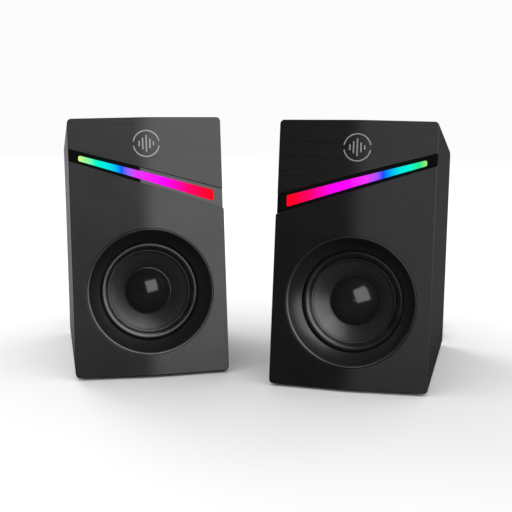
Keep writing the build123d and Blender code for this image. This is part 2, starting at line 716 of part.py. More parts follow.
def usb_bar(start, end, wide, tall, side=0.0, rise=0.0):
    """A block of the USB plug, measured from where the plug begins."""
    middle = Pos((start + end) / 2 - PLUG_X, USB_Y + side, DESK + USB_Z + rise)
    return middle * Box(end - start, wide, tall)


def usb_grip():
    grip = soften(usb_bar(7.4, 30.0, 15.6, 8.2), lambda s: s.edges(), 1.6)
    body = usb_bar(0, 7.6, 5.4, 5.0) + grip
    return body - usb_bar(24.0, 31.0, 12.02, 4.52)


def usb_shell():
    shell = usb_bar(24.1, 42.5, 12.0, 4.5)
    shell -= usb_bar(33.0, 43.0, 11.3, 1.9, rise=-0.95)     # slots in the open end
    shell -= usb_bar(33.0, 43.0, 11.3, 0.4, rise=1.7)
    for side in (-2.6, 2.6):                                # windows in the top
        shell -= usb_bar(36.6, 39.0, 2.2, 0.7, side=side, rise=2.2)
    return shell


# ---------------------------------------------------------------- mark on the upper panel
MARK_X, MARK_Z = 0.3, 129.4
MARK_BARS = ((-4.0, 3.2), (-2.0, 6.6), (0.0, 9.6), (2.0, 5.4), (4.0, 2.4))   # (x, height)


def mark_outline():
    """A ring broken at both sides, with upright bars inside it."""
    ring = Circle(7.6) - Circle(6.9)
    ring -= Rectangle(20, 2.6)
    return [ring] + [Pos(x, 0) * SlotOverall(tall, 0.8, rotation=90) for x, tall in MARK_BARS]


def make_mark():
    layer = creased(0.16, 5.0, 110, 150) - creased(0.01, 6.0, 100, 160)
    plane = Plane(origin=(MARK_X, -9, MARK_Z), x_dir=(1, 0, 0), z_dir=(0, -1, 0))
    return solids_of(*[
        extrude(plane * outline, amount=12, dir=(0, 1, 0)) & layer for outline in mark_outline()
    ])


# ---------------------------------------------------------------- assembly
def place(shape, main):
    (x, y), yaw = (MAIN_AT, MAIN_YAW) if main else (SAT_AT, SAT_YAW)
    return Pos(x + SHIFT_X, y + SHIFT_Y, LIFT) * Rot(0, 0, yaw) * Rot(-LEAN, 0, 0) * shape


# pieces that are mirrored for the main speaker
mirrored = {
    "cabinet_shell": make_shell(),
    "upper_panel": make_upper_panel(),
    "lower_panel": make_lower_panel(),
    "groove_strip": make_groove_strip(),
    "light_bar": make_light_bar(),
    "led_board": make_led_board(),
    "driver_bezel": make_bezel(),
    "cover_screws": make_cover_screws(),
    "feet": make_feet(),
}
# the driver unit, moved back to its seat behind the baffle
driver_unit = {
    "driver_gasket": make_gasket(),
    "basket": make_basket(),
    "top_plate": make_top_plate(),
    "magnet": make_magnet(),
    "yoke": make_yoke(),
    "cone": make_cone(),
    "dust_cap": make_dust_cap(),
    "voice_coil": make_voice_coil(),
    "surround": make_surround(),
    "spider": make_spider(),
    "driver_screws": make_driver_screws(),
}
for name, shape in driver_unit.items():
    mirrored[name] = Pos(0, DRV_BACK, 0) * shape

nodes = {}
for main, prefix in ((False, "sat_"), (True, "main_")):
    for name, shape in mirrored.items():
        nodes[prefix + name] = place(mirror(shape, about=Plane.YZ) if main else shape, main)
    nodes[prefix + "mark"] = place(make_mark(), main)
    nodes[prefix + "rear_cover"] = place(make_rear_cover(main), main)
    nodes[prefix + "driver_wires"] = place(make_driver_wires(main), main)
    nodes[prefix + "grommet"] = place(make_grommet(), main)

main_only = {
    "amp_board": make_amp_board(),
    "amp_parts": make_amp_parts(),
    "volume_pot": make_pot(),
    "pot_shaft": make_pot_shaft(),
    "volume_knob": make_knob(),
    "mode_button": make_button(),
    "link_socket": make_socket(),
}
for name, shape in main_only.items():
    nodes[name] = place(shape, True)

hank = make_hank()
input_cable = hank + make_lead(1)
input_cable += plug_lead(1, USB_Y, USB_Z, 10.0) + usb_grip()
input_cable += plug_lead(1, AUDIO_Y, AUDIO_Z, 7.0) + audio_grip(1, AUDIO_Y)
link_cable = hank + make_lead(-1) + plug_lead(-1, LINK_Y, AUDIO_Z, 8.0) + audio_grip(-1, LINK_Y)
nodes["input_cable"] = place(leaned(input_cable), True)
nodes["usb_plug_shell"] = place(leaned(usb_shell()), True)
nodes["audio_plug_pin"] = place(leaned(audio_pin(1, AUDIO_Y)), True)
nodes["link_cable"] = place(leaned(link_cable), False)
nodes["link_plug_pin"] = place(leaned(audio_pin(-1, LINK_Y)), False)

os.makedirs("parts", exist_ok=True)
for name, shape in nodes.items():
    export_step(solids_of(shape), os.path.join("parts", name + ".step"))
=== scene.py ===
import json
import math

import bpy
import numpy as np
from mathutils import Matrix, Vector

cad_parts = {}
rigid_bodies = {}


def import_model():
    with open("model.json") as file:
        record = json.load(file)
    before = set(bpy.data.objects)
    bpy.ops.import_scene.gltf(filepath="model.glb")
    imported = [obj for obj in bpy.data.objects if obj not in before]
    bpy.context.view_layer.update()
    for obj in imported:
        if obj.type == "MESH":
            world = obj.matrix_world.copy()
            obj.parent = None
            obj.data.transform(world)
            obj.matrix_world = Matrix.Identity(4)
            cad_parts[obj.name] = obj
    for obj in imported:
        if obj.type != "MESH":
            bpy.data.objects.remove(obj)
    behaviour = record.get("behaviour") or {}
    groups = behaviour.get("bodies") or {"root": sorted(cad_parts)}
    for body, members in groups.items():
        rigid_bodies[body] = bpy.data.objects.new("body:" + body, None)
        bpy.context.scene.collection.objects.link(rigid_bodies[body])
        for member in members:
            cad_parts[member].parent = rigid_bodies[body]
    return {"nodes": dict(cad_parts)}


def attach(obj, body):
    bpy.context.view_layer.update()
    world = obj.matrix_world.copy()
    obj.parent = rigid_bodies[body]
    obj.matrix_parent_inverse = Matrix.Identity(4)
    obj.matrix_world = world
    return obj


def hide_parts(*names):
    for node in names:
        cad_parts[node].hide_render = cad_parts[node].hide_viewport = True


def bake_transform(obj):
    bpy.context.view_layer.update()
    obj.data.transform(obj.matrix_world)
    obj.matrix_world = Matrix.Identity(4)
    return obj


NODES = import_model()["nodes"]
SCENE = bpy.context.scene


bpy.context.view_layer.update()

# ---------------------------------------------------------------- shared sizes (mm, radians)
UNITS = ("sat", "main")
BODY = {"sat": "satellite_speaker", "main": "main_speaker"}

LEAN = math.radians(9.64)
FACE_EDGE = 2.55        # the face's side edges stand this far ahead of the cabinet's origin
FOOT_HEIGHT = 1.5       # of the face's foot above the desk
LIFT = FOOT_HEIGHT - FACE_EDGE * math.sin(LEAN)
DESK = -LIFT            # the desk's z in a cabinet's level frame
SHIFT = (-2.569, -75.2)
PLACE = {               # x, y, turn about Z
    "sat": (-53.625, 13.29, math.radians(11.27)),
    "main": (53.625, -13.29, math.radians(-13.74)),
}

FACE_HALF = 43.0        # half the face's width
FACE_BEND = 5.5         # half width of the soft bend down the face's middle
FACE_SLOPE = 2.6 / (FACE_HALF - FACE_BEND / 2)

DRIVER_Z = 46.5         # the driver's axis, up the face
DRIVER_BACK = 2.25      # y from which the turned driver profiles are measured


def origin(unit):
    x, y, _ = PLACE[unit]
    return x + SHIFT[0], y + SHIFT[1], LIFT


def cabinet_matrix(unit, lean=LEAN):
    """The cabinet's frame in mm: x across, y to the rear, z up the face; level if lean is 0."""
    move = Matrix.Translation(Vector(origin(unit)) * 0.001)
    turn = Matrix.Rotation(PLACE[unit][2], 4, "Z") @ Matrix.Rotation(-lean, 4, "X")
    return move @ turn @ Matrix.Diagonal((0.001, 0.001, 0.001, 1))


def into_cabinet(points, unit):
    """World points, in the cabinet's leaning frame."""
    back = np.array(cabinet_matrix(unit).inverted())
    return points @ back[:3, :3].T + back[:3, 3]


def smoothstep(share):
    return share * share * (3 - 2 * share)


# ---------------------------------------------------------------- node helpers
class Value:
    """A node's output that can be added, subtracted and multiplied."""

    def __init__(self, tree, socket):
        self.tree = tree
        self.socket = socket

    def __add__(self, other):
        return self.tree.math("ADD", self, other)

    def __radd__(self, other):
        return self.tree.math("ADD", other, self)

    def __sub__(self, other):
        return self.tree.math("SUBTRACT", self, other)

    def __rsub__(self, other):
        return self.tree.math("SUBTRACT", other, self)

    def __mul__(self, other):
        return self.tree.math("MULTIPLY", self, other)


class Tree:
    """Builds a node tree. A range is a (from, to) pair."""

    def __init__(self, node_tree):
        self.nodes = node_tree.nodes
        self.links = node_tree.links
        self.nodes.clear()

    def put(self, socket, value):
        if value is None:
            return
        if isinstance(value, Value):
            self.links.new(value.socket, socket)
        elif isinstance(value, tuple) and len(value) == 3 and socket.type == "RGBA":
            socket.default_value = (*value, 1.0)
        else:
            socket.default_value = value

    def node(self, kind, inputs=(), **settings):
        node = self.nodes.new(kind)
        for name, value in settings.items():
            setattr(node, name, value)
        for key, value in dict(inputs).items():
            self.put(node.inputs[key], value)
        return node

    def add(self, kind, inputs=(), output=0, **settings):
        return Value(self, self.node(kind, inputs, **settings).outputs[output])

    def math(self, operation, *values):
        return self.add("ShaderNodeMath", enumerate(values), operation=operation)

    def mix(self, share, first, second):
        inputs = {0: share, 6: first, 7: second}
        return self.add("ShaderNodeMix", inputs, 2, data_type="RGBA")

    def span(self, value, over, to=(0.0, 1.0), kind="SMOOTHSTEP"):
        inputs = enumerate((value, *over, *to))
        return self.add("ShaderNodeMapRange", inputs, interpolation_type=kind)

    def spread(self, noise, to=(0.0, 1.0)):
        """Stretches the middle of a noise over a whole range."""
        return self.span(noise, over=(0.3, 0.7), to=to)

    def place(self, unit):
        """The point in a cabinet's leaning frame, or in the world if unit is None, in mm."""
        inputs = {0: self.add("ShaderNodeTexCoord", output="Object"), 3: (0.001, 0.001, 0.001)}
        if unit:
            inputs[1] = tuple(v / 1000 for v in origin(unit))
            inputs[2] = (-LEAN, 0, PLACE[unit][2])
        return self.add("ShaderNodeMapping", inputs, vector_type="TEXTURE")

    def stretched(self, place, scale):
        return self.add("ShaderNodeMapping", {0: place, 3: scale})

    def noise(self, place, scale, detail=3.0, rough=0.5):
        inputs = {"Vector": place, "Scale": scale, "Detail": detail, "Roughness": rough}
        return self.add("ShaderNodeTexNoise", inputs)

    def cells(self, place, scale, feature="F1"):
        inputs = {"Vector": place, "Scale": scale}
        return self.add("ShaderNodeTexVoronoi", inputs, "Distance", feature=feature)

    def parts(self, vector):
        """The x, y and z of a vector."""
        node = self.node("ShaderNodeSeparateXYZ", {0: vector})
        return [Value(self, socket) for socket in node.outputs]

    def rays(self):
        """Whether the ray comes from the camera, and whether it is a reflection."""
        outputs = self.node("ShaderNodeLightPath").outputs
        return Value(self, outputs["Is Camera Ray"]), Value(self, outputs["Is Glossy Ray"])

    def ramp(self, share, stops):
        node = self.node("ShaderNodeValToRGB", {0: share})
        elements = node.color_ramp.elements
        while len(elements) < len(stops):
            elements.new(0.5)
        for element, (position, colour) in zip(elements, stops):
            element.position = position
            element.color = (*colour, 1.0)
        return Value(self, node.outputs[0])

    def bump(self, height, strength, distance, normal=None):
        inputs = {"Strength": strength, "Distance": distance, "Height": height,
                  "Normal": normal}
        return self.add("ShaderNodeBump", inputs)

    def finish(self, **sockets):
        inputs = {name.replace("_", " "): value for name, value in sockets.items()}
        shader = self.add("ShaderNodeBsdfPrincipled", inputs)
        self.node("ShaderNodeOutputMaterial", {0: shader})

    def driver_radius(self, place):
        """Distance from the driver's axis, in mm."""
        x, _, z = self.parts(place)
        up = z - DRIVER_Z
        return self.math("SQRT", x * x + up * up)

    def driver_slant(self, place):
        """Distance from the driver's axis towards +x and up, in mm."""
        x, _, z = self.parts(place)
        return x * 0.75 + (z - DRIVER_Z) * 0.66


MATERIALS = {}


def material(name, unit=None):
    """Starts a material; gives its node tree and the place its patterns are laid out in."""
    new = bpy.data.materials.new(name)
    new.use_nodes = True
    MATERIALS[name] = new
    tree = Tree(new.node_tree)
    return tree, tree.place(unit)


def shade(colour, factor):
    return tuple(v * factor for v in colour)


# ---------------------------------------------------------------- plain plastics and metals
def moulded(name, unit, colour, rough, grain, scale, specular, sway=0.05):
    """Moulded plastic: a fine even grain, with slow changes of sheen."""
    tree, place = material(name, unit)
    fine = tree.noise(place, scale=scale, detail=4.0, rough=0.6)
    slow = tree.noise(place, scale=0.035, detail=2.0)
    tree.finish(
        Base_Color=tree.mix(tree.spread(slow), shade(colour, 0.88), shade(colour, 1.12)),
        Roughness=(tree.spread(slow, to=(rough - sway, rough + sway))
                   + tree.spread(fine, to=(-0.03, 0.03))),
        Specular_IOR_Level=specular,
        Normal=tree.bump(fine, strength=grain, distance=0.00006))


def metal(name, unit, colour, rough, streak, strength):
    """Metal with fine lines and soft spots of sheen."""
    tree, place = material(name, unit)
    lines = tree.noise(tree.stretched(place, streak), scale=1.0, detail=4.0, rough=0.65)
    spots = tree.noise(place, scale=0.25)
    tree.finish(
        Base_Color=tree.mix(tree.spread(spots), shade(colour, 0.85), colour),
        Metallic=1.0,
        Roughness=(tree.span(lines, over=(0.25, 0.75), to=(rough - 0.08, rough + 0.08))
                   + tree.spread(spots, to=(-0.03, 0.05))),
        Normal=tree.bump(lines, strength=strength, distance=0.00004))


# look: colour, roughness, grain depth, grain scale, specular, roughness sway if not the usual
UNIT_PLASTICS = {
    "shell_plastic": ((0.0052, 0.0053, 0.0056), 0.36, 0.35, 1.6, 0.5, 0.02),
    "cover_plastic": ((0.0150, 0.0152, 0.0158), 0.48, 0.7, 1.1, 0.45),
    "front_plastic": ((0.0030, 0.0030, 0.0031), 0.29, 0.05, 2.4, 0.5, 0.02),
    "rubber_feet": ((0.018, 0.018, 0.018), 0.72, 0.8, 1.4, 0.3),
    "wire_red": ((0.42, 0.012, 0.010), 0.42, 0.25, 3.0, 0.45),
    "wire_black": ((0.012, 0.012, 0.012), 0.42, 0.25, 3.0, 0.45),
    "component_plastic": ((0.013, 0.013, 0.014), 0.46, 0.4, 2.0, 0.4),
    "can_sleeve": ((0.010, 0.018, 0.060), 0.38, 0.15, 2.0, 0.5),
    "lamp_white": ((0.62, 0.60, 0.50), 0.35, 0.1, 2.0, 0.5),
}
# look: colour, roughness, scale of the lines along x, y and z, depth of the lines
UNIT_METALS = {
    "black_steel": ((0.030, 0.030, 0.032), 0.42, (0.15, 3.0, 0.15), 0.15),
    "plated_steel": ((0.56, 0.56, 0.54), 0.28, (0.15, 3.0, 0.15), 0.15),
    "screw_steel": ((0.045, 0.045, 0.048), 0.34, (1.6, 1.6, 1.6), 0.25),
    "contact_metal": ((0.66, 0.64, 0.60), 0.16, (0.6, 0.6, 0.6), 0.06),
}


# ---------------------------------------------------------------- finishes of the face
FACE_SHEEN_SLOPE = 0.0646   # slope of the bend shown in the polished strip


def brushed_panel(unit):
    """Upper panel: fine streaks running across the face."""
    tree, place = material(f"{unit}_brushed_panel", unit)
    long = tree.noise(tree.stretched(place, (0.012, 0.3, 2.6)), scale=1.0, detail=5.0, rough=0.7)
    short = tree.noise(tree.stretched(place, (0.05, 0.5, 5.2)), scale=1.0, rough=0.6)
    streak = long * 0.65 + short * 0.35
    tree.finish(
        Base_Color=tree.mix(tree.span(streak, over=(0.35, 0.68)),
                            (0.0028, 0.0028, 0.0029), (0.0054, 0.0054, 0.0056)),
        Roughness=tree.spread(streak, to=(0.25, 0.36)),
        Specular_IOR_Level=0.5,
        Normal=tree.bump(streak, strength=0.13, distance=0.00008))


def gloss_black(unit):
    """Polished strip in the groove; its sheen turns softly over the face's bend."""
    tree, place = material(f"{unit}_gloss_black", unit)
    wave = tree.noise(place, scale=0.06, detail=2.0)
    wide = tree.math("MINIMUM", tree.math("ABSOLUTE", tree.parts(place)[0]), FACE_BEND)
    dome = wide * FACE_SHEEN_SLOPE - (wide * wide) * (FACE_SHEEN_SLOPE / (2 * FACE_BEND))
    bend = tree.bump(dome, strength=1.0, distance=0.001)
    dust = tree.span(tree.noise(place, scale=1.7, detail=4.0), over=(0.62, 0.8))
    tree.finish(
        Base_Color=tree.mix(dust, (0.0028, 0.0028, 0.003), (0.006, 0.006, 0.0062)),
        Roughness=tree.spread(wave, to=(0.05, 0.09)) + dust * 0.06,
        Specular_IOR_Level=0.5,
        Normal=tree.bump(wave, strength=0.05, distance=0.0005, normal=bend))


# share of the light bar's length, colour; the main speaker's bar runs the other way
LIGHT_STOPS = {
    "sat": [
        (0.00, (0.62, 0.96, 0.22)), (0.055, (0.30, 0.95, 0.32)), (0.12, (0.0, 0.90, 0.52)),
        (0.20, (0.0, 0.84, 0.80)), (0.265, (0.0, 0.52, 0.88)), (0.315, (0.0, 0.10, 0.98)),
        (0.36, (0.26, 0.12, 0.93)), (0.43, (0.78, 0.03, 0.94)), (0.52, (0.98, 0.01, 0.93)),
        (0.62, (0.94, 0.0, 0.95)), (0.70, (1.0, 0.0, 0.60)), (0.80, (1.0, 0.0, 0.16)),
        (0.91, (1.0, 0.0, 0.045)), (1.0, (1.0, 0.0, 0.008))],
    "main": [
        (0.00, (0.34, 0.82, 0.18)), (0.05, (0.02, 0.80, 0.26)), (0.12, (0.0, 0.90, 0.62)),
        (0.19, (0.0, 0.80, 0.80)), (0.25, (0.0, 0.42, 0.90)), (0.305, (0.0, 0.06, 0.98)),
        (0.35, (0.36, 0.08, 0.95)), (0.43, (0.90, 0.03, 0.96)), (0.55, (0.95, 0.0, 0.98)),
        (0.66, (0.95, 0.0, 0.95)), (0.74, (1.0, 0.0, 0.50)), (0.83, (1.0, 0.0, 0.15)),
        (0.92, (1.0, 0.0, 0.04)), (1.0, (1.0, 0.0, 0.008))],
}


def light_diffuser(unit):
    """Light bar: one colour runs into the next along the face."""
    tree, place = material(f"{unit}_light_diffuser", unit)
    run = tree.parts(place)[0] * (1.0 if unit == "sat" else -1.0)
    along = tree.span(run, over=(-37.4, 37.7), kind="LINEAR")
    glow = tree.ramp(along, LIGHT_STOPS[unit])
    soft = tree.noise(place, scale=0.16, detail=2.0)
    grain = tree.noise(place, scale=2.0, detail=2.0)
    tree.finish(
        Base_Color=tree.mix(0.06, (0.0, 0.0, 0.0), glow),
        Roughness=tree.spread(soft, to=(0.3, 0.4)),
        Specular_IOR_Level=0.03,
        Emission_Color=glow,
        Emission_Strength=tree.span(soft, over=(0.25, 0.75), to=(0.93, 1.03)),
        Normal=tree.bump(grain, strength=0.08, distance=0.00005))


def mark_print(unit):
    """Thin metallic print."""
    tree, place = material(f"{unit}_mark_print", unit)
    flake = tree.noise(place, scale=3.0)
    tree.finish(
        Base_Color=tree.mix(tree.span(flake, over=(0.35, 0.65)),
                            (0.15, 0.15, 0.155), (0.27, 0.27, 0.275)),
        Metallic=0.35,
        Roughness=tree.spread(flake, to=(0.38, 0.5)),
        Normal=tree.bump(flake, strength=0.15, distance=0.00003))


# ---------------------------------------------------------------- finishes of the driver
def satin_black(unit):
    """Bezel: satin, with the faint rings of its moulding tool."""
    tree, place = material(f"{unit}_satin_black", unit)
    rings = tree.math("SINE", tree.driver_radius(place) * 26.0)
    grain = tree.noise(place, scale=2.0, detail=4.0)
    tree.finish(
        Base_Color=tree.mix(grain, (0.0022, 0.0022, 0.0023), (0.0042, 0.0042, 0.0044)),
        Roughness=tree.spread(grain, to=(0.3, 0.38)),
        Specular_IOR_Level=0.5,
        Normal=tree.bump(rings * 0.12 + grain, strength=0.10, distance=0.00005))


def cone_satin(unit):
    """Cone: satin film over pressed paper, with faint rings; duller at the rim, a little all round
    and most towards +x and up: painted shade on the highlight there.
    """
    tree, place = material(f"{unit}_cone_satin", unit)
    radius = tree.driver_radius(place)
    rings = tree.math("SINE", radius * 9.0)
    pulp = tree.noise(place, scale=1.3, detail=5.0, rough=0.62)
    # sheen turned down at the rim, most towards +x and up: painted shade on the highlight there
    dull = (tree.span(radius, over=(21.2, 21.8))
            * tree.span(tree.driver_slant(place), over=(-8.0, 14.0), to=(0.15, 0.45)))
    tree.finish(
        Base_Color=tree.mix(tree.spread(pulp),
                            (0.0050, 0.0050, 0.0053), (0.0085, 0.0085, 0.0090)),
        Roughness=tree.spread(pulp, to=(0.30, 0.44)),
        Specular_IOR_Level=0.55 - dull,
        Normal=tree.bump(rings * 0.10 + pulp, strength=0.20, distance=0.0001))


def cap_lacquer(unit):
    """Dust cap: lacquer that thins towards the rim; the glue outside it shines on the satellite
    only, a painted glint.
    """
    tree, place = material(f"{unit}_cap_lacquer", unit)
    radius = tree.driver_radius(place)
    pulp = tree.noise(place, scale=0.9, detail=4.0, rough=0.6)
    # the glue's extra sheen, on the satellite only, is a painted glint
    glint_share = 1.0 if unit == "sat" else 0.0
    glue_edge = (12.7, 12.9)
    matt = (tree.span(radius, over=(9.4, 10.4))
            * tree.span(radius, over=glue_edge, to=(1.0, 1.0 - glint_share)))
    glue = tree.span(radius, over=glue_edge, to=(0.0, glint_share))
    tree.finish(
        Base_Color=tree.mix(pulp, (0.0050, 0.0050, 0.0053), (0.0085, 0.0085, 0.0090)),
        Roughness=tree.spread(pulp, to=(0.10, 0.16)) + matt * 0.25,
        Specular_IOR_Level=(0.5 - matt * 0.42) + glue * 0.5,
        IOR=1.5 + glue * 0.32,
        Normal=tree.bump(pulp, strength=0.05, distance=0.0001))


def rubber_roll(unit):
    """Rubber surround, less shiny towards +x and up: painted shade that takes out the highlight
    the lights throw there.
    """
    tree, place = material(f"{unit}_rubber_roll", unit)
    grain = tree.noise(place, scale=3.0, detail=5.0, rough=0.65)
    bloom = tree.noise(place, scale=0.12)
    # least sheen, towards +x and up: painted shade on the roll's highlight, deeper on the main
    # speaker
    dullest = 0.20 if unit == "sat" else 0.08
    tree.finish(
        Base_Color=tree.mix(tree.spread(bloom),
                            (0.0028, 0.0028, 0.0030), (0.0055, 0.0055, 0.0058)),
        Roughness=tree.spread(grain, to=(0.20, 0.28)),
        Specular_IOR_Level=tree.span(tree.driver_slant(place), over=(-6.0, 16.0),
                                     to=(0.42, dullest)),
        Normal=tree.bump(grain, strength=0.08, distance=0.00004))


def spider_cloth(unit):
    """Spider: resin-stiffened woven cloth."""
    tree, place = material(f"{unit}_spider_cloth", unit)
    x, _, z = tree.parts(place)
    weave = tree.math("SINE", x * 9.0) * tree.math("SINE", z * 9.0)
    fuzz = tree.noise(place, scale=2.5, detail=4.0)
    cloth = tree.mix(tree.span(weave, over=(-0.6, 0.6)),
                     (0.20, 0.085, 0.022), (0.42, 0.21, 0.065))
    tree.finish(
        Base_Color=tree.mix(fuzz * 0.5, cloth, (0.5, 0.3, 0.12)),
        Roughness=tree.spread(fuzz, to=(0.7, 0.9)),
        Normal=tree.bump(weave + fuzz, strength=0.5, distance=0.0001))


def foam(unit):
    """Foam gasket with open pores."""
    tree, place = material(f"{unit}_foam", unit)
    pores = tree.cells(place, scale=1.1, feature="DISTANCE_TO_EDGE")
    tree.finish(
        Base_Color=tree.mix(tree.span(pores, over=(0.0, 0.25)),
                            (0.035, 0.035, 0.036), (0.012, 0.012, 0.012)),
        Roughness=0.95,
        Normal=tree.bump(pores, strength=0.8, distance=0.0003))


def ferrite(unit):
    """Magnet: dull dark grey with a chipped speckle."""
    tree, place = material(f"{unit}_ferrite", unit)
    speck = tree.noise(place, scale=1.8, detail=5.0, rough=0.7)
    chip = tree.span(tree.cells(place, scale=0.6), over=(0.05, 0.3))
    tree.finish(
        Base_Color=tree.mix(speck, (0.020, 0.020, 0.021), (0.060, 0.060, 0.061)),
        Roughness=tree.span(chip, over=(0.0, 1.0), to=(0.5, 0.8)),
        Normal=tree.bump(speck, strength=0.5, distance=0.0001))


def coil_copper(unit):
    """Copper winding: turns follow one another along y."""
    tree, place = material(f"{unit}_coil_copper", unit)
    turns = tree.math("SINE", tree.parts(place)[1] * 30.0)
    tarnish = tree.noise(place, scale=0.8)
    tree.finish(
        Base_Color=tree.mix(tarnish, (0.55, 0.20, 0.07), (0.78, 0.34, 0.14)),
        Metallic=1.0,
        Roughness=tree.span(turns, over=(-1, 1), to=(0.42, 0.22)),
        Normal=tree.bump(turns, strength=0.6, distance=0.00006))


# ---------------------------------------------------------------- boards, cable, all finishes
def circuit_board(unit):
    """Circuit board: green mask over copper tracks, with bare metal pads."""
    tree, place = material(f"{unit}_circuit_board", unit)
    track = tree.add("ShaderNodeTexBrick", {
        "Vector": tree.stretched(place, (0.5, 0.5, 0.5)), "Scale": 0.35, "Mortar Size": 0.03,
        "Mortar Smooth": 0.1, "Brick Width": 0.9, "Row Height": 0.28}, "Fac")
    pads = tree.span(tree.cells(place, scale=0.33), over=(0.28, 0.22))
    weave = tree.noise(place, scale=3.5, detail=2.0)
    green = tree.mix(weave, (0.006, 0.060, 0.022), (0.010, 0.090, 0.034))
    printed = tree.mix(track, green, (0.020, 0.15, 0.055))
    tree.finish(
        Base_Color=tree.mix(pads * 0.9, printed, (0.62, 0.60, 0.56)),
        Metallic=pads * 0.8,
        Roughness=tree.spread(weave, to=(0.3, 0.42)),
        Normal=tree.bump(track + pads, strength=0.3, distance=0.0001))


def cable_jacket():
    """Cable jacket: matt plastic with slow changes of sheen."""
    tree, place = material("cable_jacket")
    fine = tree.noise(place, scale=3.0, detail=4.0, rough=0.6)
    slow = tree.noise(place, scale=0.07, detail=2.0)
    tree.finish(
        Base_Color=tree.mix(tree.spread(slow), (0.010, 0.010, 0.0105), (0.0175, 0.0175, 0.018)),
        Roughness=tree.spread(slow, to=(0.42, 0.56)),
        Specular_IOR_Level=0.45,
        Normal=tree.bump(fine, strength=0.25, distance=0.00005))


for unit in UNITS:
    for look, values in UNIT_PLASTICS.items():
        moulded(f"{unit}_{look}", unit, *values)
    for look, values in UNIT_METALS.items():
        metal(f"{unit}_{look}", unit, *values)
    for recipe in (brushed_panel, gloss_black, light_diffuser, satin_black, cone_satin,
                   cap_lacquer, rubber_roll, spider_cloth, mark_print, foam, circuit_board,
                   ferrite, coil_copper):
        recipe(unit)
cable_jacket()
moulded("knob_plastic", "main", colour=(0.0095, 0.0095, 0.0100), rough=0.44, grain=0.45,
        scale=1.8, specular=0.5)
moulded("grip_plastic", None, colour=(0.0115, 0.0115, 0.012), rough=0.48, grain=0.5,
        scale=1.6, specular=0.45)
moulded("tie_plastic", None, colour=(0.020, 0.020, 0.021), rough=0.32, grain=0.2,
        scale=1.2, specular=0.5)
metal("plug_metal", None, colour=(0.50, 0.49, 0.465), rough=0.24, streak=(0.5, 0.5, 0.5),
      strength=0.06)

# ---------------------------------------------------------------- dressing the CAD pieces
UNIT_LOOKS = {
    "cabinet_shell": "shell_plastic", "upper_panel": "brushed_panel",
    "lower_panel": "front_plastic", "groove_strip": "gloss_black",
    "light_bar": "light_diffuser", "driver_bezel": "satin_black",
    "driver_gasket": "foam", "basket": "black_steel", "top_plate": "plated_steel",
    "magnet": "ferrite", "yoke": "plated_steel", "cone": "cone_satin",
    "dust_cap": "cap_lacquer", "voice_coil": "coil_copper", "surround": "rubber_roll",
    "spider": "spider_cloth", "driver_screws": "screw_steel", "cover_screws": "screw_steel",
    "feet": "rubber_feet", "mark": "mark_print", "rear_cover": "cover_plastic",
    "driver_wires": "wire_red", "grommet": "rubber_feet",
}
SINGLE_LOOKS = {
    "amp_board": "main_circuit_board", "volume_pot": "main_plated_steel",
    "pot_shaft": "main_plated_steel", "volume_knob": "knob_plastic",
    "mode_button": "knob_plastic", "link_socket": "main_component_plastic",
    "input_cable": "cable_jacket", "usb_plug_shell": "plug_metal",
    "audio_plug_pin": "plug_metal", "link_cable": "cable_jacket", "link_plug_pin": "plug_metal",
}


def dress(obj, *looks):
    obj.data.materials.clear()
    for look in looks:
        obj.data.materials.append(MATERIALS[look])


def face_centres(obj, unit):
    """The x, y and z of each face's middle, in the cabinet's leaning frame."""
    centres = np.zeros(len(obj.data.polygons) * 3, np.float32)
    obj.data.polygons.foreach_get("center", centres)
    return into_cabinet(centres.reshape(-1, 3), unit).T


def set_faces(obj, slots):
    obj.data.polygons.foreach_set("material_index", slots.astype(np.int32))
    obj.data.update()


def dress_amp_parts():
    """Each component of the amplifier in its own finish, told apart by where it stands."""
    parts = NODES["amp_parts"]
    dress(parts, "main_component_plastic", "main_can_sleeve", "main_plated_steel",
          "main_coil_copper", "main_lamp_white")
    sleeve, plated, copper, lamp = 1, 2, 3, 4
    can_xs, can_half = (22, 11), 4.2
    row_z = 98
    x, y, z = face_centres(parts, "main")
    near_can = (np.abs(x + can_xs[0]) < can_half) | (np.abs(x + can_xs[1]) < can_half)
    can = near_can & (np.abs(z - row_z) < can_half)
    slots = np.zeros(len(x))
    slots[can] = sleeve
    slots[can & (y < 77.9)] = plated
    slots[(np.hypot(x - 18, z - row_z) < 4.8) & (y < 88.4)] = copper
    slots[(x > 22.0) & (z < 95.2)] = lamp
    set_faces(parts, slots)


def dress_led_board(unit):
    """The lamps stand ahead of the board's face."""
    board = NODES[f"{unit}_led_board"]
    dress(board, f"{unit}_circuit_board", f"{unit}_lamp_white")
    _, y, _ = face_centres(board, unit)
    set_faces(board, y < 9.39)


for unit in UNITS:
    for part, look in UNIT_LOOKS.items():
        dress(NODES[f"{unit}_{part}"], f"{unit}_{look}")
for node, look in SINGLE_LOOKS.items():
    dress(NODES[node], look)
dress_amp_parts()
for unit in UNITS:
    dress_led_board(unit)


# ---------------------------------------------------------------- mesh helpers
def grid(rows, columns, closed=False, flip=False):
    """Quads between rows of points; each row is a ring. closed joins the last row to the first."""
    faces = []
    for i in range(rows if closed else rows - 1):
        j = (i + 1) % rows
        for s in range(columns):
            q = (s + 1) % columns
            face = (i * columns + s, j * columns + s, j * columns + q, i * columns + q)
            faces.append(face[::-1] if flip else face)
    return faces


def fan(row, columns, tip, flip=False):
    """Triangles from a row's ring to the point tip."""
    faces = [(row * columns + s, row * columns + (s + 1) % columns, tip)
             for s in range(columns)]
    return [face[::-1] for face in faces] if flip else faces


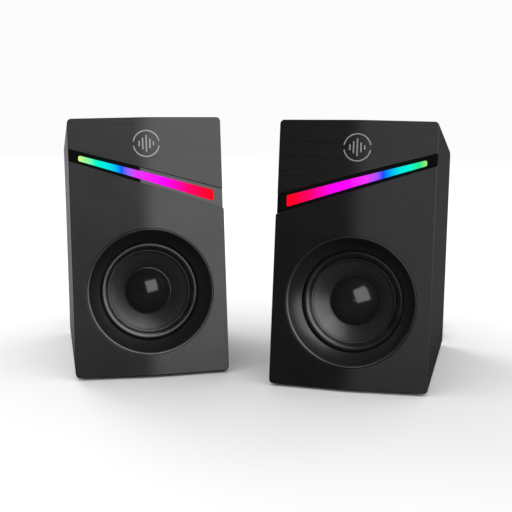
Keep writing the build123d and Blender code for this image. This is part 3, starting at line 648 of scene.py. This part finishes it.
class Skin:
    """Gathers (points, faces, uvs) skins of several finishes into one mesh."""

    def __init__(self):
        self.verts, self.faces, self.uvs, self.slots = [], [], [], []

    def add(self, skin, slot=0):
        verts, faces, uvs = skin
        base = len(self.verts)
        self.verts += [tuple(vert) for vert in verts]
        self.faces += [tuple(base + corner for corner in face) for face in faces]
        self.uvs += uvs
        self.slots += [slot] * len(faces)

    def build(self, name, matrix, looks):
        place = np.array(matrix)
        verts = np.array(self.verts) @ place[:3, :3].T + place[:3, 3]
        mesh = bpy.data.meshes.new(name)
        mesh.from_pydata(verts.tolist(), [], self.faces)
        layer = mesh.uv_layers.new(name="UVMap")
        uvs = [self.uvs[v] for poly in mesh.polygons for v in poly.vertices]
        layer.data.foreach_set("uv", np.array(uvs, np.float32).reshape(-1))
        for look in looks:
            mesh.materials.append(MATERIALS[look])
        mesh.polygons.foreach_set("material_index", np.array(self.slots, np.int32))
        mesh.polygons.foreach_set("use_smooth", np.full(len(mesh.polygons), True))
        mesh.update()
        mesh.validate()
        obj = bpy.data.objects.new(name, mesh)
        SCENE.collection.objects.link(obj)
        return obj


def frames(path, closed):
    """Tangents and two steady normals along a polyline."""
    if closed:
        tangents = np.roll(path, -1, 0) - np.roll(path, 1, 0)
    else:
        tangents = np.gradient(path, axis=0)
    tangents /= np.linalg.norm(tangents, axis=1)[:, None]
    steep = abs(tangents[0][2]) >= 0.9
    last = np.array((1.0, 0, 0)) if steep else np.array((0, 0, 1.0))
    normals = np.zeros_like(path)
    for i, tangent in enumerate(tangents):
        last = last - tangent * (last @ tangent)
        last = last / np.linalg.norm(last)
        normals[i] = last
    return tangents, normals, np.cross(tangents, normals)


def pipe(path, outline, tip=None):
    """An outline carried along a path. tip is how far the pointed ends stand out;
    without it the path is a closed loop."""
    closed = tip is None
    tangents, normals, sides = frames(path, closed)
    rows, columns = len(path), len(outline)
    run = np.concatenate([[0], np.cumsum(np.linalg.norm(np.diff(path, axis=0), axis=1))])
    verts, uvs = [], []
    for i in range(rows):
        for s, (wide, thick) in enumerate(outline):
            verts.append(path[i] + normals[i] * wide + sides[i] * thick)
            uvs.append((run[i], s / columns))
    faces = grid(rows, columns, closed)
    if not closed:
        for i, sign in ((0, -1), (rows - 1, 1)):
            faces += fan(i, columns, len(verts), flip=sign < 0)
            verts.append(path[i] + tangents[i] * sign * tip)
            uvs.append((run[i], 0.5))
    return verts, faces, uvs


def lathe(profile, at, axis, sides, closed=False):
    """(distance along axis, radius) points turned about a level line through at.
    A radius of 0 makes a single point."""
    axis, up = Vector(axis), Vector((0, 0, 1))
    side = axis.cross(up)
    verts, faces, uvs, rows = [], [], [], []
    run = 0.0
    for n, (along, radius) in enumerate(profile):
        if n:
            run += math.hypot(along - profile[n - 1][0], radius - profile[n - 1][1])
        if radius < 1e-6:
            rows.append([len(verts)])
            verts.append(Vector(at) + axis * along)
            uvs.append((run, 0.5))
            continue
        rows.append(range(len(verts), len(verts) + sides))
        for s in range(sides):
            angle = 2 * math.pi * s / sides
            out = up * math.cos(angle) + side * math.sin(angle)
            verts.append(Vector(at) + axis * along + out * radius)
            uvs.append((run, s / sides))
    pairs = list(zip(rows, rows[1:]))
    if closed:
        pairs.append((rows[-1], rows[0]))
    for a, b in pairs:
        for s in range(sides):
            q = (s + 1) % sides
            if len(a) == 1:
                faces.append((a[0], b[q], b[s]))
            elif len(b) == 1:
                faces.append((a[s], a[q], b[0]))
            else:
                faces.append((a[s], a[q], b[q], b[s]))
    return verts, faces, uvs


def rounded(points, radius, steps):
    """An open polyline whose inner corners are rounded off."""
    points = [np.array(point, float) for point in points]
    result = [points[0]]
    for before, corner, after in zip(points, points[1:], points[2:]):
        u, v = before - corner, after - corner
        u_length, v_length = np.linalg.norm(u), np.linalg.norm(v)
        cut = min(radius, u_length * 0.45, v_length * 0.45)
        start, end = corner + u / u_length * cut, corner + v / v_length * cut
        for s in range(steps + 1):
            w = s / steps
            result.append((1 - w) ** 2 * start + 2 * w * (1 - w) * corner + w * w * end)
    result.append(points[-1])
    return [tuple(point) for point in result]


def loft_box(sections, at, way):
    """A rounded box through (x, half width, half height, corner radius) sections;
    way (1 or -1) is the direction of its x."""
    per_corner = 8
    count = 4 * per_corner
    verts, uvs = [], []
    for x, half_y, half_z, corner in sections:
        corner = min(corner, half_y, half_z)
        for q in range(4):
            y = (half_y - corner) * (1 if q in (0, 3) else -1)
            z = (half_z - corner) * (1 if q in (0, 1) else -1)
            for s in range(per_corner):
                angle = math.pi / 2 * (q + s / (per_corner - 1))
                verts.append((at[0] + way * x, at[1] + y + corner * math.cos(angle),
                              at[2] + z + corner * math.sin(angle)))
                uvs.append((x, (q * per_corner + s) / count))
    faces = grid(len(sections), count, flip=way > 0)
    for row, flip in ((0, way > 0), (len(sections) - 1, way < 0)):
        x = sections[row][0]
        faces += fan(row, count, len(verts), flip)
        verts.append((at[0] + way * x, at[1], at[2]))
        uvs.append((x, 0.5))
    return verts, faces, uvs


def driver_ring(name, unit, profile, sides, looks):
    """A closed (y, radius) profile turned about the driver's axis."""
    skin = Skin()
    at = (0, DRIVER_BACK, DRIVER_Z)
    skin.add(lathe(profile, at=at, axis=(0, 1, 0), sides=sides, closed=True))
    return skin.build(name, cabinet_matrix(unit), looks)


# ---------------------------------------------------------------- suspension: roll and spider
ROLL_THICK, SPIDER_THICK = 0.36, 0.38
CONE_FILM_R = 22.92     # inside this radius the roll wears the cone's film


def roll_profile():
    """(radius, y) of the roll's front, from the rim inwards."""
    crest_r, rim_y, rise = 26.1, 4.85, 1.65
    inner_r = 3.07
    points = [(28.25, 4.90), (28.1, 4.88)]
    for n in range(10):
        a = math.radians(90 * n / 9)
        points.append((crest_r + 1.9 * math.cos(a), rim_y - rise * math.sin(a) ** 0.9))
    for n in range(1, 13):
        a = math.radians(58 * n / 12)
        points.append((crest_r - inner_r * math.sin(a),
                       rim_y - rise + inner_r * (1 - math.cos(a))))
    # the foot that lies on the cone
    return points + [(23.43, 4.84), (23.33, 4.97), (23.2, 5.02), (23.07, 4.98), (22.96, 4.90),
                     (22.84, 4.89), (22.4, 5.13), (22.0, 5.37), (21.93, 5.45)]


def spider_profile():
    """(radius, y) of the spider: waves that die out towards both edges."""
    outer_r, inner_r, middle_y = 21.35, 10.05, 16.88
    height, pitch = 0.62, 2.4
    points = [(outer_r, 16.9)]
    for s in range(1, 90):
        r = outer_r - (outer_r - inner_r) * s / 90
        fade = max(0.0, min(1.0, (r - 10.6) / 1.2, 19.9 - r))
        wave = math.cos((r - 12.2) / pitch * 2 * math.pi + math.pi)
        points.append((r, middle_y + fade * height * wave))
    return points + [(inner_r, middle_y)]


def suspension(name, unit, front, thick, node, slot):
    """A turned sheet between the cabinet (rim) and the cone (inner edge)."""
    front = np.array(front, float)
    step = np.gradient(front, axis=0)
    normals = np.stack([-step[:, 1], step[:, 0]], 1)
    normals /= np.linalg.norm(normals, axis=1)[:, None]
    if normals[len(normals) // 2][1] < 0:
        normals = -normals
    back = front + normals * thick
    profile = [(y, r) for r, y in front] + [(y, r) for r, y in back[::-1]]
    looks = [f"{unit}_{slot}", f"{unit}_cone_satin"]
    obj = driver_ring(name, unit, profile, 160, looks)
    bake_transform(obj)
    # the roll's faces inside CONE_FILM_R wear the cone's finish
    points = into_cabinet(np.array([v.co for v in obj.data.vertices], float), unit)
    radii = np.hypot(points[:, 0], points[:, 2] - DRIVER_Z)
    if slot == "rubber_roll":
        for face in obj.data.polygons:
            if np.mean(radii[list(face.vertices)]) < CONE_FILM_R:
                face.material_index = 1
    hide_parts(node)


for unit in UNITS:
    suspension(f"{unit}_rubber_surround", unit, roll_profile(), ROLL_THICK,
               node=f"{unit}_surround", slot="rubber_roll")
    suspension(f"{unit}_cloth_spider", unit, spider_profile(), SPIDER_THICK,
               node=f"{unit}_spider", slot="spider_cloth")


# ---------------------------------------------------------------- bezel and glue ring
BEZEL_SIDES = 192
LIP_R = 35.16           # where the lip's rounding starts
LIP_ROUND = 1.5         # radius of that rounding
DISH_MOUTH = (27.9, 4.5)    # radius, y of the dish's inner edge
DISH_BOW = 0.45         # how far the dish bows between lip and mouth
# (radius, y) from the mouth round the back to the outer edge
BEZEL_BACK = [(27.83, 4.60), (27.87, 4.72), (28.0, 4.78), (29.3, 4.78), (29.5, 4.70),
              (31.5, 3.15), (31.6, 3.05), (35.26, 3.05)]


def face_y(x):
    """Where the lower panel's front lies at x."""
    x = abs(x)
    if x >= FACE_BEND:
        return -FACE_EDGE - FACE_SLOPE * (FACE_HALF - x)
    edge = -FACE_EDGE - FACE_SLOPE * (FACE_HALF - FACE_BEND)
    middle = edge - FACE_SLOPE * FACE_BEND / 2
    return middle + (edge - middle) * (x / FACE_BEND) ** 2


def bezel_profile(top):
    """(radius, y) of the bezel where its lip stands at y = top."""
    points = [(35.3, top + 0.5), (35.29, top + 0.12), (35.24, top + 0.03), (LIP_R, top)]
    for s in range(1, 10):
        a = math.radians(46 * s / 9)
        points.append((LIP_R - LIP_ROUND * math.sin(a), top + LIP_ROUND * (1 - math.cos(a))))
    start = np.array(points[-1])
    slope = np.array(DISH_MOUTH) - start
    out = np.array((-slope[1], slope[0])) / np.linalg.norm(slope)
    for s in range(1, 17):
        w = s / 16
        points.append(tuple(start + slope * w - out * DISH_BOW * 4 * w * (1 - w)))
    return points + BEZEL_BACK


def bezel(unit):
    """The driver's dish, from a rounded lip that follows the bent face down to the mouth."""
    verts = []
    for n in range(BEZEL_SIDES):
        angle = 2 * math.pi * n / BEZEL_SIDES
        cos, sin = math.cos(angle), math.sin(angle)
        profile = bezel_profile(top=face_y(35.2 * cos) - 0.06)
        verts += [(r * cos, y, DRIVER_Z + r * sin) for r, y in profile]
    skin = Skin()
    faces = grid(BEZEL_SIDES, len(profile), closed=True)
    skin.add((verts, faces, [(x, z) for x, _, z in verts]))
    obj = skin.build(f"{unit}_bezel_ring", cabinet_matrix(unit), [f"{unit}_satin_black"])
    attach(obj, BODY[unit])
    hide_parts(f"{unit}_driver_bezel")


def glue_ring(unit):
    """The bead of glue round the dust cap's rim."""
    profile = []
    for n in range(12):
        a = 2 * math.pi * n / 12
        profile.append((11.40 + 0.24 * math.sin(a), 13.14 + 0.26 * math.cos(a)))
    obj = driver_ring(f"{unit}_cap_glue_ring", unit, profile, 128, [f"{unit}_cap_lacquer"])
    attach(obj, f"{unit}_cone_assembly")


for unit in UNITS:
    bezel(unit)
    glue_ring(unit)

# ---------------------------------------------------------------- cables (level frame)
# way is 1 for the main speaker's cable and -1 for the satellite's, which is mirrored in x.
CABLE_R = 1.55
HANK_Y = 134.0          # the middle of the coiled hank
HANK_HALF = 20.0        # half the length of its straight sides
HANK_R = 10.5           # radius of its end bends
TIE_X = 9.5
PLUG_X = 8.9            # where a plug starts, on the side away from way
USB_Z, AUDIO_Z = 4.7, 4.35      # plug axes above the desk
PLUG_RELIEF = 7.6       # length of the audio plug's strain relief
JACKET, GRIP, TIE = 0, 1, 2     # material slots

# lanes of the cable in the hank's section: (outward, up)
LANES = [(-3.35, 2.05), (0.15, 1.85), (3.5, 2.1), (1.95, 4.95), (-1.6, 5.0), (-3.2, 7.9),
         (0.3, 8.1), (3.4, 7.7), (-1.3, 10.0)]


def squarish(angle, half_wide, half_tall, power):
    """A point on an oval that gets squarer as power falls."""
    cos, sin = math.cos(angle), math.sin(angle)
    return (math.copysign(abs(cos) ** power, cos) * half_wide,
            math.copysign(abs(sin) ** power, sin) * half_tall)


def turn_angles(count):
    return [2 * math.pi * s / count for s in range(count)]


CABLE_OUTLINE = [(CABLE_R * math.cos(a), CABLE_R * math.sin(a)) for a in turn_angles(14)]
STRAP_OUTLINE = [squarish(a, half_wide=2.1, half_tall=0.25, power=0.35)
                 for a in turn_angles(16)]


def slot_point(turn):
    """A point and its outward direction on the hank's long-hole outline; turn is 0 to 1."""
    straight, bend = 2 * HANK_HALF, math.pi * HANK_R
    run = turn * 2 * (straight + bend)
    sign = 1
    if run >= straight + bend:
        run -= straight + bend
        sign = -1
    if run < straight:
        return sign * np.array((HANK_HALF - run, -HANK_R)), sign * np.array((0.0, -1.0))
    angle = -math.pi / 2 - (run - straight) / HANK_R
    out = np.array((math.cos(angle), math.sin(angle)))
    return sign * (np.array((-HANK_HALF, 0.0)) + out * HANK_R), sign * out


def smooth_curve(points, count, end=None):
    """Catmull-Rom points, evenly spread, through the given ones; end is the last direction."""
    points = [np.array(point, float) for point in points]
    if end is None:
        end = points[-1] - points[-2]
    knots = [points[0] - (points[1] - points[0]), *points, points[-1] + np.array(end, float)]
    dense = []
    for p0, p1, p2, p3 in zip(knots, knots[1:], knots[2:], knots[3:]):
        for s in range(40):
            w = s / 40
            dense.append(0.5 * ((2 * p1) + (-p0 + p2) * w
                                + (2 * p0 - 5 * p1 + 4 * p2 - p3) * w * w
                                + (-p0 + 3 * p1 - 3 * p2 + p3) * w ** 3))
    dense = np.array(dense + [points[-1]])
    run = np.concatenate([[0], np.cumsum(np.linalg.norm(np.diff(dense, axis=0), axis=1))])
    stations = np.linspace(0, run[-1], count)
    return np.stack([np.interp(stations, run, dense[:, c]) for c in range(3)], 1)


def coil(way, seed):
    """The hank: the cable runs from lane to lane, turn after turn, wandering a little."""
    phases = np.random.default_rng(seed).uniform(0, 6.28, (len(LANES), 4))
    steps = 120
    points = []
    for (out, up), (next_out, next_up), phase in zip(LANES, LANES[1:], phases):
        for s in range(steps):
            turn = s / steps
            # the lane changes from the middle of the rear side into the bend after it
            share = smoothstep(min(1.0, max(0.0, (turn - 0.62) / 0.2)))
            a = 2 * math.pi * turn
            outward = (out + (next_out - out) * share
                       + 0.28 * math.sin(a * 2 + phase[0]) + 0.12 * math.sin(a * 5 + phase[1]))
            height = (up + (next_up - up) * share
                      + 0.22 * math.sin(a * 2 + phase[2]) + 0.10 * math.sin(a * 3 + phase[3]))
            height = min(max(height, CABLE_R + 0.12), 10.2)
            point, direction = slot_point(turn)
            x, y = point + direction * outward
            points.append((way * x, HANK_Y + y, DESK + 0.15 + height))
    return np.array(points)


def cable_entry(way, hank):
    """From inside the cabinet, through the grommet and down into the hank."""
    cos, sin = math.cos(LEAN), math.sin(LEAN)

    def leaned(y, z):
        return np.array((0.0, y * cos + z * sin, -y * sin + z * cos))

    inner, gate = leaned(92.0, 38.0), leaned(109.8, 38.0)
    start = hank[0]
    direction = hank[1] - start
    direction /= np.linalg.norm(direction)
    path = smooth_curve([
        inner, (inner + gate) / 2, gate,
        gate + (way * 4.2, 5.6, -2.6), gate + (way * 15.0, 9.4, -13.5),
        start - direction * 9 + (0, 0, 1.5), start - direction * 1.0], 130)
    path[:, 2] = np.maximum(path[:, 2], DESK + CABLE_R + 0.2)   # stays above the desk
    return path


def tie_bands(x, skin):
    """Two flat bands, one round each long side of the hank."""
    for side in (-1, 1):
        loop = []
        for a in turn_angles(72):
            y, z = squarish(a, half_wide=5.62, half_tall=5.55, power=0.62)
            loop.append((x + 0.25 * math.sin(a * 2 + side), HANK_Y + side * HANK_R + y,
                         DESK + 5.92 + z))
        skin.add(pipe(np.array(loop), STRAP_OUTLINE), TIE)


def strain_relief(skin, at, way):
    """A ribbed sleeve that thickens towards the audio plug."""
    start_r, end_r, ribs = 2.15, 2.75, 5
    profile = [(-0.4, 0.0), (-0.4, CABLE_R + 0.25), (0.0, CABLE_R + 0.35)]
    steps = ribs * 6
    for s in range(steps + 1):
        rib = 0.22 * math.sin(2 * math.pi * ribs * s / steps - math.pi / 2)
        profile.append((PLUG_RELIEF * s / steps, start_r + (end_r - start_r) * s / steps + rib))
    profile += [(PLUG_RELIEF + 0.3, end_r), (PLUG_RELIEF + 0.3, 0.0)]
    skin.add(lathe(profile, at, axis=(way, 0, 0), sides=32), GRIP)


# (distance along the plug, radius) of the audio plug's body
AUDIO_BODY = [(7.2, 2.7), (7.5, 4.15), (9.6, 4.15), (10.0, 3.9), (19.0, 3.75), (19.4, 4.1),
              (22.4, 4.15), (23.9, 3.9), (24.1, 2.9), (25.4, 2.85), (25.5, 1.8)]


def audio_plug(skin, x, y, way):
    at = (x, y, DESK + AUDIO_Z)
    strain_relief(skin, at, way)
    bore_r = 1.74
    outline = rounded(AUDIO_BODY, 0.5, 4)
    # grip rings between the two shoulders, then back into the bore at the far end
    profile = [(7.2, 0.0), (7.2, 2.6)] + [point for point in outline if point[0] <= 10.0]
    for s in range(49):
        profile.append((10.2 + 8.6 * s / 48, 3.8 + 0.16 * math.cos(2 * math.pi * 6 * s / 48)))
    profile += [point for point in outline if point[0] >= 19.0]
    profile += [(25.5, bore_r), (19.5, bore_r), (19.5, 0.0)]
    skin.add(lathe(profile, at, axis=(way, 0, 0), sides=48), GRIP)


# sections of the USB plug's grip before and after its ribs, as loft_box takes them
USB_SHOULDER = [(7.0, 2.9, 2.3, 1.4), (7.35, 6.4, 3.2, 1.5), (7.8, 7.3, 3.85, 1.6),
                (8.6, 7.7, 4.06, 1.7)]
USB_END = [(19.2, 7.76, 4.07, 1.7), (28.2, 7.6, 4.0, 1.7), (29.3, 7.3, 3.8, 1.6),
           (29.8, 6.7, 3.3, 1.4), (29.9, 6.05, 2.3, 0.4), (24.2, 6.03, 2.28, 0.3)]


def usb_plug(skin, x, y, way):
    at = (x, y, DESK + USB_Z)
    relief = [(-0.2, 2.0, 2.0, 1.9)]
    for s in range(41):
        w = s / 40
        rib = 0.20 * math.sin(2 * math.pi * 5 * w - math.pi / 2)
        relief.append((7.0 * w, 2.2 + 0.5 * w + rib, 2.1 + 0.4 * w + rib, 1.9))
    skin.add(loft_box(relief, at, way), GRIP)
    ribs = []
    for s in range(25):
        rib = 0.24 * (0.5 + 0.5 * math.cos(2 * math.pi * 6 * s / 24))
        ribs.append((9.4 + 9.0 * s / 24, 7.49 + rib, 4.06, 1.7))
    skin.add(loft_box(USB_SHOULDER + ribs + USB_END, at, way), GRIP)


def plug_path(way, plug_y, plug_z, from_y):
    """From the hank's rear side, round a half circle and back to a plug."""
    z, x = DESK + plug_z, -way * HANK_HALF
    y = HANK_Y + from_y
    radius = (plug_y - y) / 2
    points = [(x + way * 16.0, y - 0.2, z + 0.6), (x + way * 7.0, y, z + 0.2)]
    for s in range(9):
        a = math.pi * s / 8
        points.append((x - way * radius * math.sin(a), y + radius - radius * math.cos(a), z))
    plug_x = -way * PLUG_X
    points += [((x + plug_x) / 2, plug_y, z), (plug_x, plug_y, z)]
    return smooth_curve(points, 110, end=(way * 4.0, 0, 0))


def build_cable(name, node, unit, way, seed, plugs):
    """plugs: (plug function, its height, its y, y from the hank's middle where it leaves)."""
    skin = Skin()
    hank = coil(way, seed)
    path = np.concatenate([cable_entry(way, hank), hank])
    skin.add(pipe(path, CABLE_OUTLINE, tip=CABLE_R * 0.25), JACKET)
    for plug, plug_z, plug_y, from_y in plugs:
        path = plug_path(way, plug_y, plug_z, from_y)
        skin.add(pipe(path, CABLE_OUTLINE, tip=CABLE_R * 0.25), JACKET)
        plug(skin, -way * (PLUG_X + 0.1), plug_y, way)
    for x in (-TIE_X, TIE_X):
        tie_bands(x, skin)
    looks = ["cable_jacket", "grip_plastic", "tie_plastic"]
    obj = skin.build(name, cabinet_matrix(unit, lean=0.0), looks)
    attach(obj, BODY[unit])
    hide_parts(node)


build_cable("input_lead", "input_cable", "main", way=1, seed=5,
            plugs=[(usb_plug, USB_Z, 158.0, 10.0), (audio_plug, AUDIO_Z, 172.15, 7.0)])
build_cable("link_lead", "link_cable", "sat", way=-1, seed=9,
            plugs=[(audio_plug, AUDIO_Z, 160.0, 8.0)])

# ---------------------------------------------------------------- smooth shading, CAD pieces
for node in NODES.values():
    for poly in node.data.polygons:
        poly.use_smooth = True


# ---------------------------------------------------------------- floor
def floor_pale():
    """Pale floor: darker in reflections, and fading into the backdrop far away."""
    tree, place = material("floor_pale")
    speck = tree.noise(place, scale=0.02)
    camera_ray, glossy_ray = tree.rays()
    pale = tree.mix(speck, (0.86, 0.86, 0.865), (0.88, 0.88, 0.885))
    # what the speakers mirror: dark, with lighter ground at -x and behind
    x, y, _ = tree.parts(place)
    behind = tree.span(y, over=(120, 200)) * tree.span(x, over=(130, 170), to=(1.0, 0.0))
    past = tree.span(y, over=(-60, 0))
    left = tree.span(x, over=(-150, -90), to=(1.0, 0.0)) * past
    right = tree.span(x, over=(110, 160)) * past
    mirrored = tree.mix(right, (0.055, 0.055, 0.056), (0.08, 0.08, 0.082))
    mirrored = tree.mix(tree.math("MAXIMUM", left, behind), mirrored, (0.35, 0.35, 0.36))
    ground = tree.mix(glossy_ray, pale, mirrored)
    x, y, _ = tree.parts(place)
    far = tree.math("SQRT", x * x + y * y)
    haze = tree.span(far, over=(260, 1500)) * camera_ray
    tree.finish(
        Base_Color=tree.mix(haze, ground, (0.0, 0.0, 0.0)),
        Roughness=0.85,
        Specular_IOR_Level=0.0,
        Emission_Color=(0.97, 0.97, 0.975),
        Emission_Strength=haze)


def build_floor():
    """A disc of rings about the origin, in metres."""
    radii, sides = (0.25, 0.5, 1.0, 2.0, 4.0, 8.0), 48
    verts = [(0, 0, 0)]
    for r in radii:
        verts += [(r * math.cos(a), r * math.sin(a), 0) for a in turn_angles(sides)]
    faces = [(0, 1 + s, 1 + (s + 1) % sides) for s in range(sides)]
    faces += [tuple(1 + corner for corner in face) for face in grid(len(radii), sides)]
    mesh = bpy.data.meshes.new("floor")
    mesh.from_pydata(verts, [], faces)
    floor = bpy.data.objects.new("floor", mesh)
    SCENE.collection.objects.link(floor)
    floor_pale()
    mesh.materials.append(MATERIALS["floor_pale"])


build_floor()

# ---------------------------------------------------------------- world
# Soft-edged panels seen in reflections, in degrees; azimuth 0 is in front (-y), + towards +x:
# azimuth from, to, elevation from, to, softness in azimuth, in elevation, strength
SKY_PANELS = [
    (62, 96, 8, 55, 8, 9, 0.3),
    (-400, 400, 82, 120, 4, 6, 0.9),
    (105, 140, 20, 55, 8, 8, 0.8),
    (-150, -100, 6, 55, 8, 8, 1.7),
    (172, 400, 22, 60, 6, 8, 0.9),
    (-400, -172, 22, 60, 6, 8, 0.9),
    (-176, -146, -10, 14, 4, 6, 0.85),
    (150, 176, -10, 14, 4, 6, 0.06),
]


def build_world():
    """The camera sees a plain backdrop, surfaces get even light, reflections the panels."""
    world = bpy.data.worlds.new("studio")
    world.use_nodes = True
    SCENE.world = world
    tree = Tree(world.node_tree)
    x, y, z = tree.parts(tree.add("ShaderNodeTexCoord", output="Generated"))
    degrees = 180 / math.pi
    azimuth = tree.math("ARCTAN2", x, y * -1.0) * degrees
    elevation = tree.math("ARCSINE", z) * degrees

    def rise(angle, edge, soft):
        return tree.span(angle, over=(edge - soft, edge + soft))

    def fall(angle, edge, soft):
        return tree.span(angle, over=(edge - soft, edge + soft), to=(1.0, 0.0))

    def background(colour, strength):
        return tree.add("ShaderNodeBackground", {0: colour, 1: strength})

    def choose(share, first, second):
        return tree.add("ShaderNodeMixShader", {0: share, 1: first, 2: second})

    shine = 0.025
    for az_from, az_to, el_from, el_to, az_soft, el_soft, strength in SKY_PANELS:
        shine = shine + (rise(azimuth, az_from, az_soft) * fall(azimuth, az_to, az_soft)
                         * rise(elevation, el_from, el_soft) * fall(elevation, el_to, el_soft)
                         * strength)
    camera_ray, glossy_ray = tree.rays()
    even = background(colour=(1.0, 1.0, 1.0), strength=1.1)
    mirrored = background(colour=(1.0, 1.0, 1.0), strength=shine)
    backdrop = background(colour=(0.97, 0.97, 0.975), strength=1.0)
    unseen = choose(glossy_ray, even, mirrored)
    tree.node("ShaderNodeOutputWorld", {0: choose(camera_ray, unseen, backdrop)})


build_world()


# ---------------------------------------------------------------- lights (m, degrees, watts)
def area(name, at, target, wide, power, tall=None, only=None):
    """An area light; square without tall. only: words in the names of the pieces it lights."""
    data = bpy.data.lights.new(name, "AREA")
    data.shape, data.size, data.energy = "SQUARE", wide, power
    if tall:
        data.shape, data.size_y = "RECTANGLE", tall
    light = bpy.data.objects.new(name, data)
    light.location = at
    light.rotation_euler = (Vector(target) - Vector(at)).to_track_quat("-Z", "Y").to_euler()
    SCENE.collection.objects.link(light)
    if only:
        lit = bpy.data.collections.new(name + "_on")
        for obj in SCENE.objects:
            if obj.type == "MESH" and any(word in obj.name for word in only):
                lit.objects.link(obj)
        light.light_linking.receiver_collection = lit
        light.visible_camera = False
    return light


def far_panel(name, azimuth, elevation, wide, tall, power, only):
    """A panel 2 m from the speakers; azimuth 0 is in front, + towards +x."""
    a, e = math.radians(azimuth), math.radians(elevation)
    middle = Vector((0, -0.06, 0.07))
    way = Vector((math.sin(a) * math.cos(e), -math.cos(a) * math.cos(e), math.sin(e)))
    area(name, middle + way * 2.0, middle, wide, power, tall, only)


DISH = ("_cone", "_rubber_surround", "_bezel_ring")
CABINET = ("_upper_panel", "_lower_panel", "_cabinet_shell", "_mark")
REAR = ("_rear_cover", "_cover_screws", "_grommet", "volume_knob", "mode_button",
        "link_socket", "_lead")

key = area("key", at=(0.054, -0.258, 0.137), target=(0.0, -0.058, 0.05), wide=0.155,
           power=0.243, only=("_dust_cap",) + DISH)
key.rotation_euler.rotate_axis("Z", math.radians(12))
far_panel("side_box", azimuth=52.0, elevation=21, wide=3.10, tall=2.1, power=60.0,
          only=CABINET + DISH)
far_panel("upper_box", azimuth=40, elevation=57, wide=1.3, tall=1.2, power=16.0, only=DISH)
far_panel("strip_box", azimuth=43.5, elevation=21, wide=2.52, tall=2.1, power=50.0,
          only=("_groove_strip",))
far_panel("front_box", azimuth=-8, elevation=24, wide=0.66, tall=1.95, power=4.5, only=CABINET)
area("rear_fill", at=(-0.7, 1.1, 0.9), target=(0, 0, 0.06), wide=0.7, power=8.0)
far_panel("rear_box", azimuth=150, elevation=28, wide=1.5, tall=1.5, power=26.0, only=REAR)

# ---------------------------------------------------------------- camera
lens = bpy.data.cameras.new("camera")
lens.lens, lens.sensor_width = 75.86, 36.0
lens.clip_start, lens.clip_end = 0.02, 50
camera = bpy.data.objects.new("camera", lens)
camera.location = (0.001736, -0.64776, 0.176273)
camera.rotation_euler = (math.radians(79.58), 0, 0)
SCENE.collection.objects.link(camera)
SCENE.camera = camera
SCENE.view_settings.view_transform = "Standard"
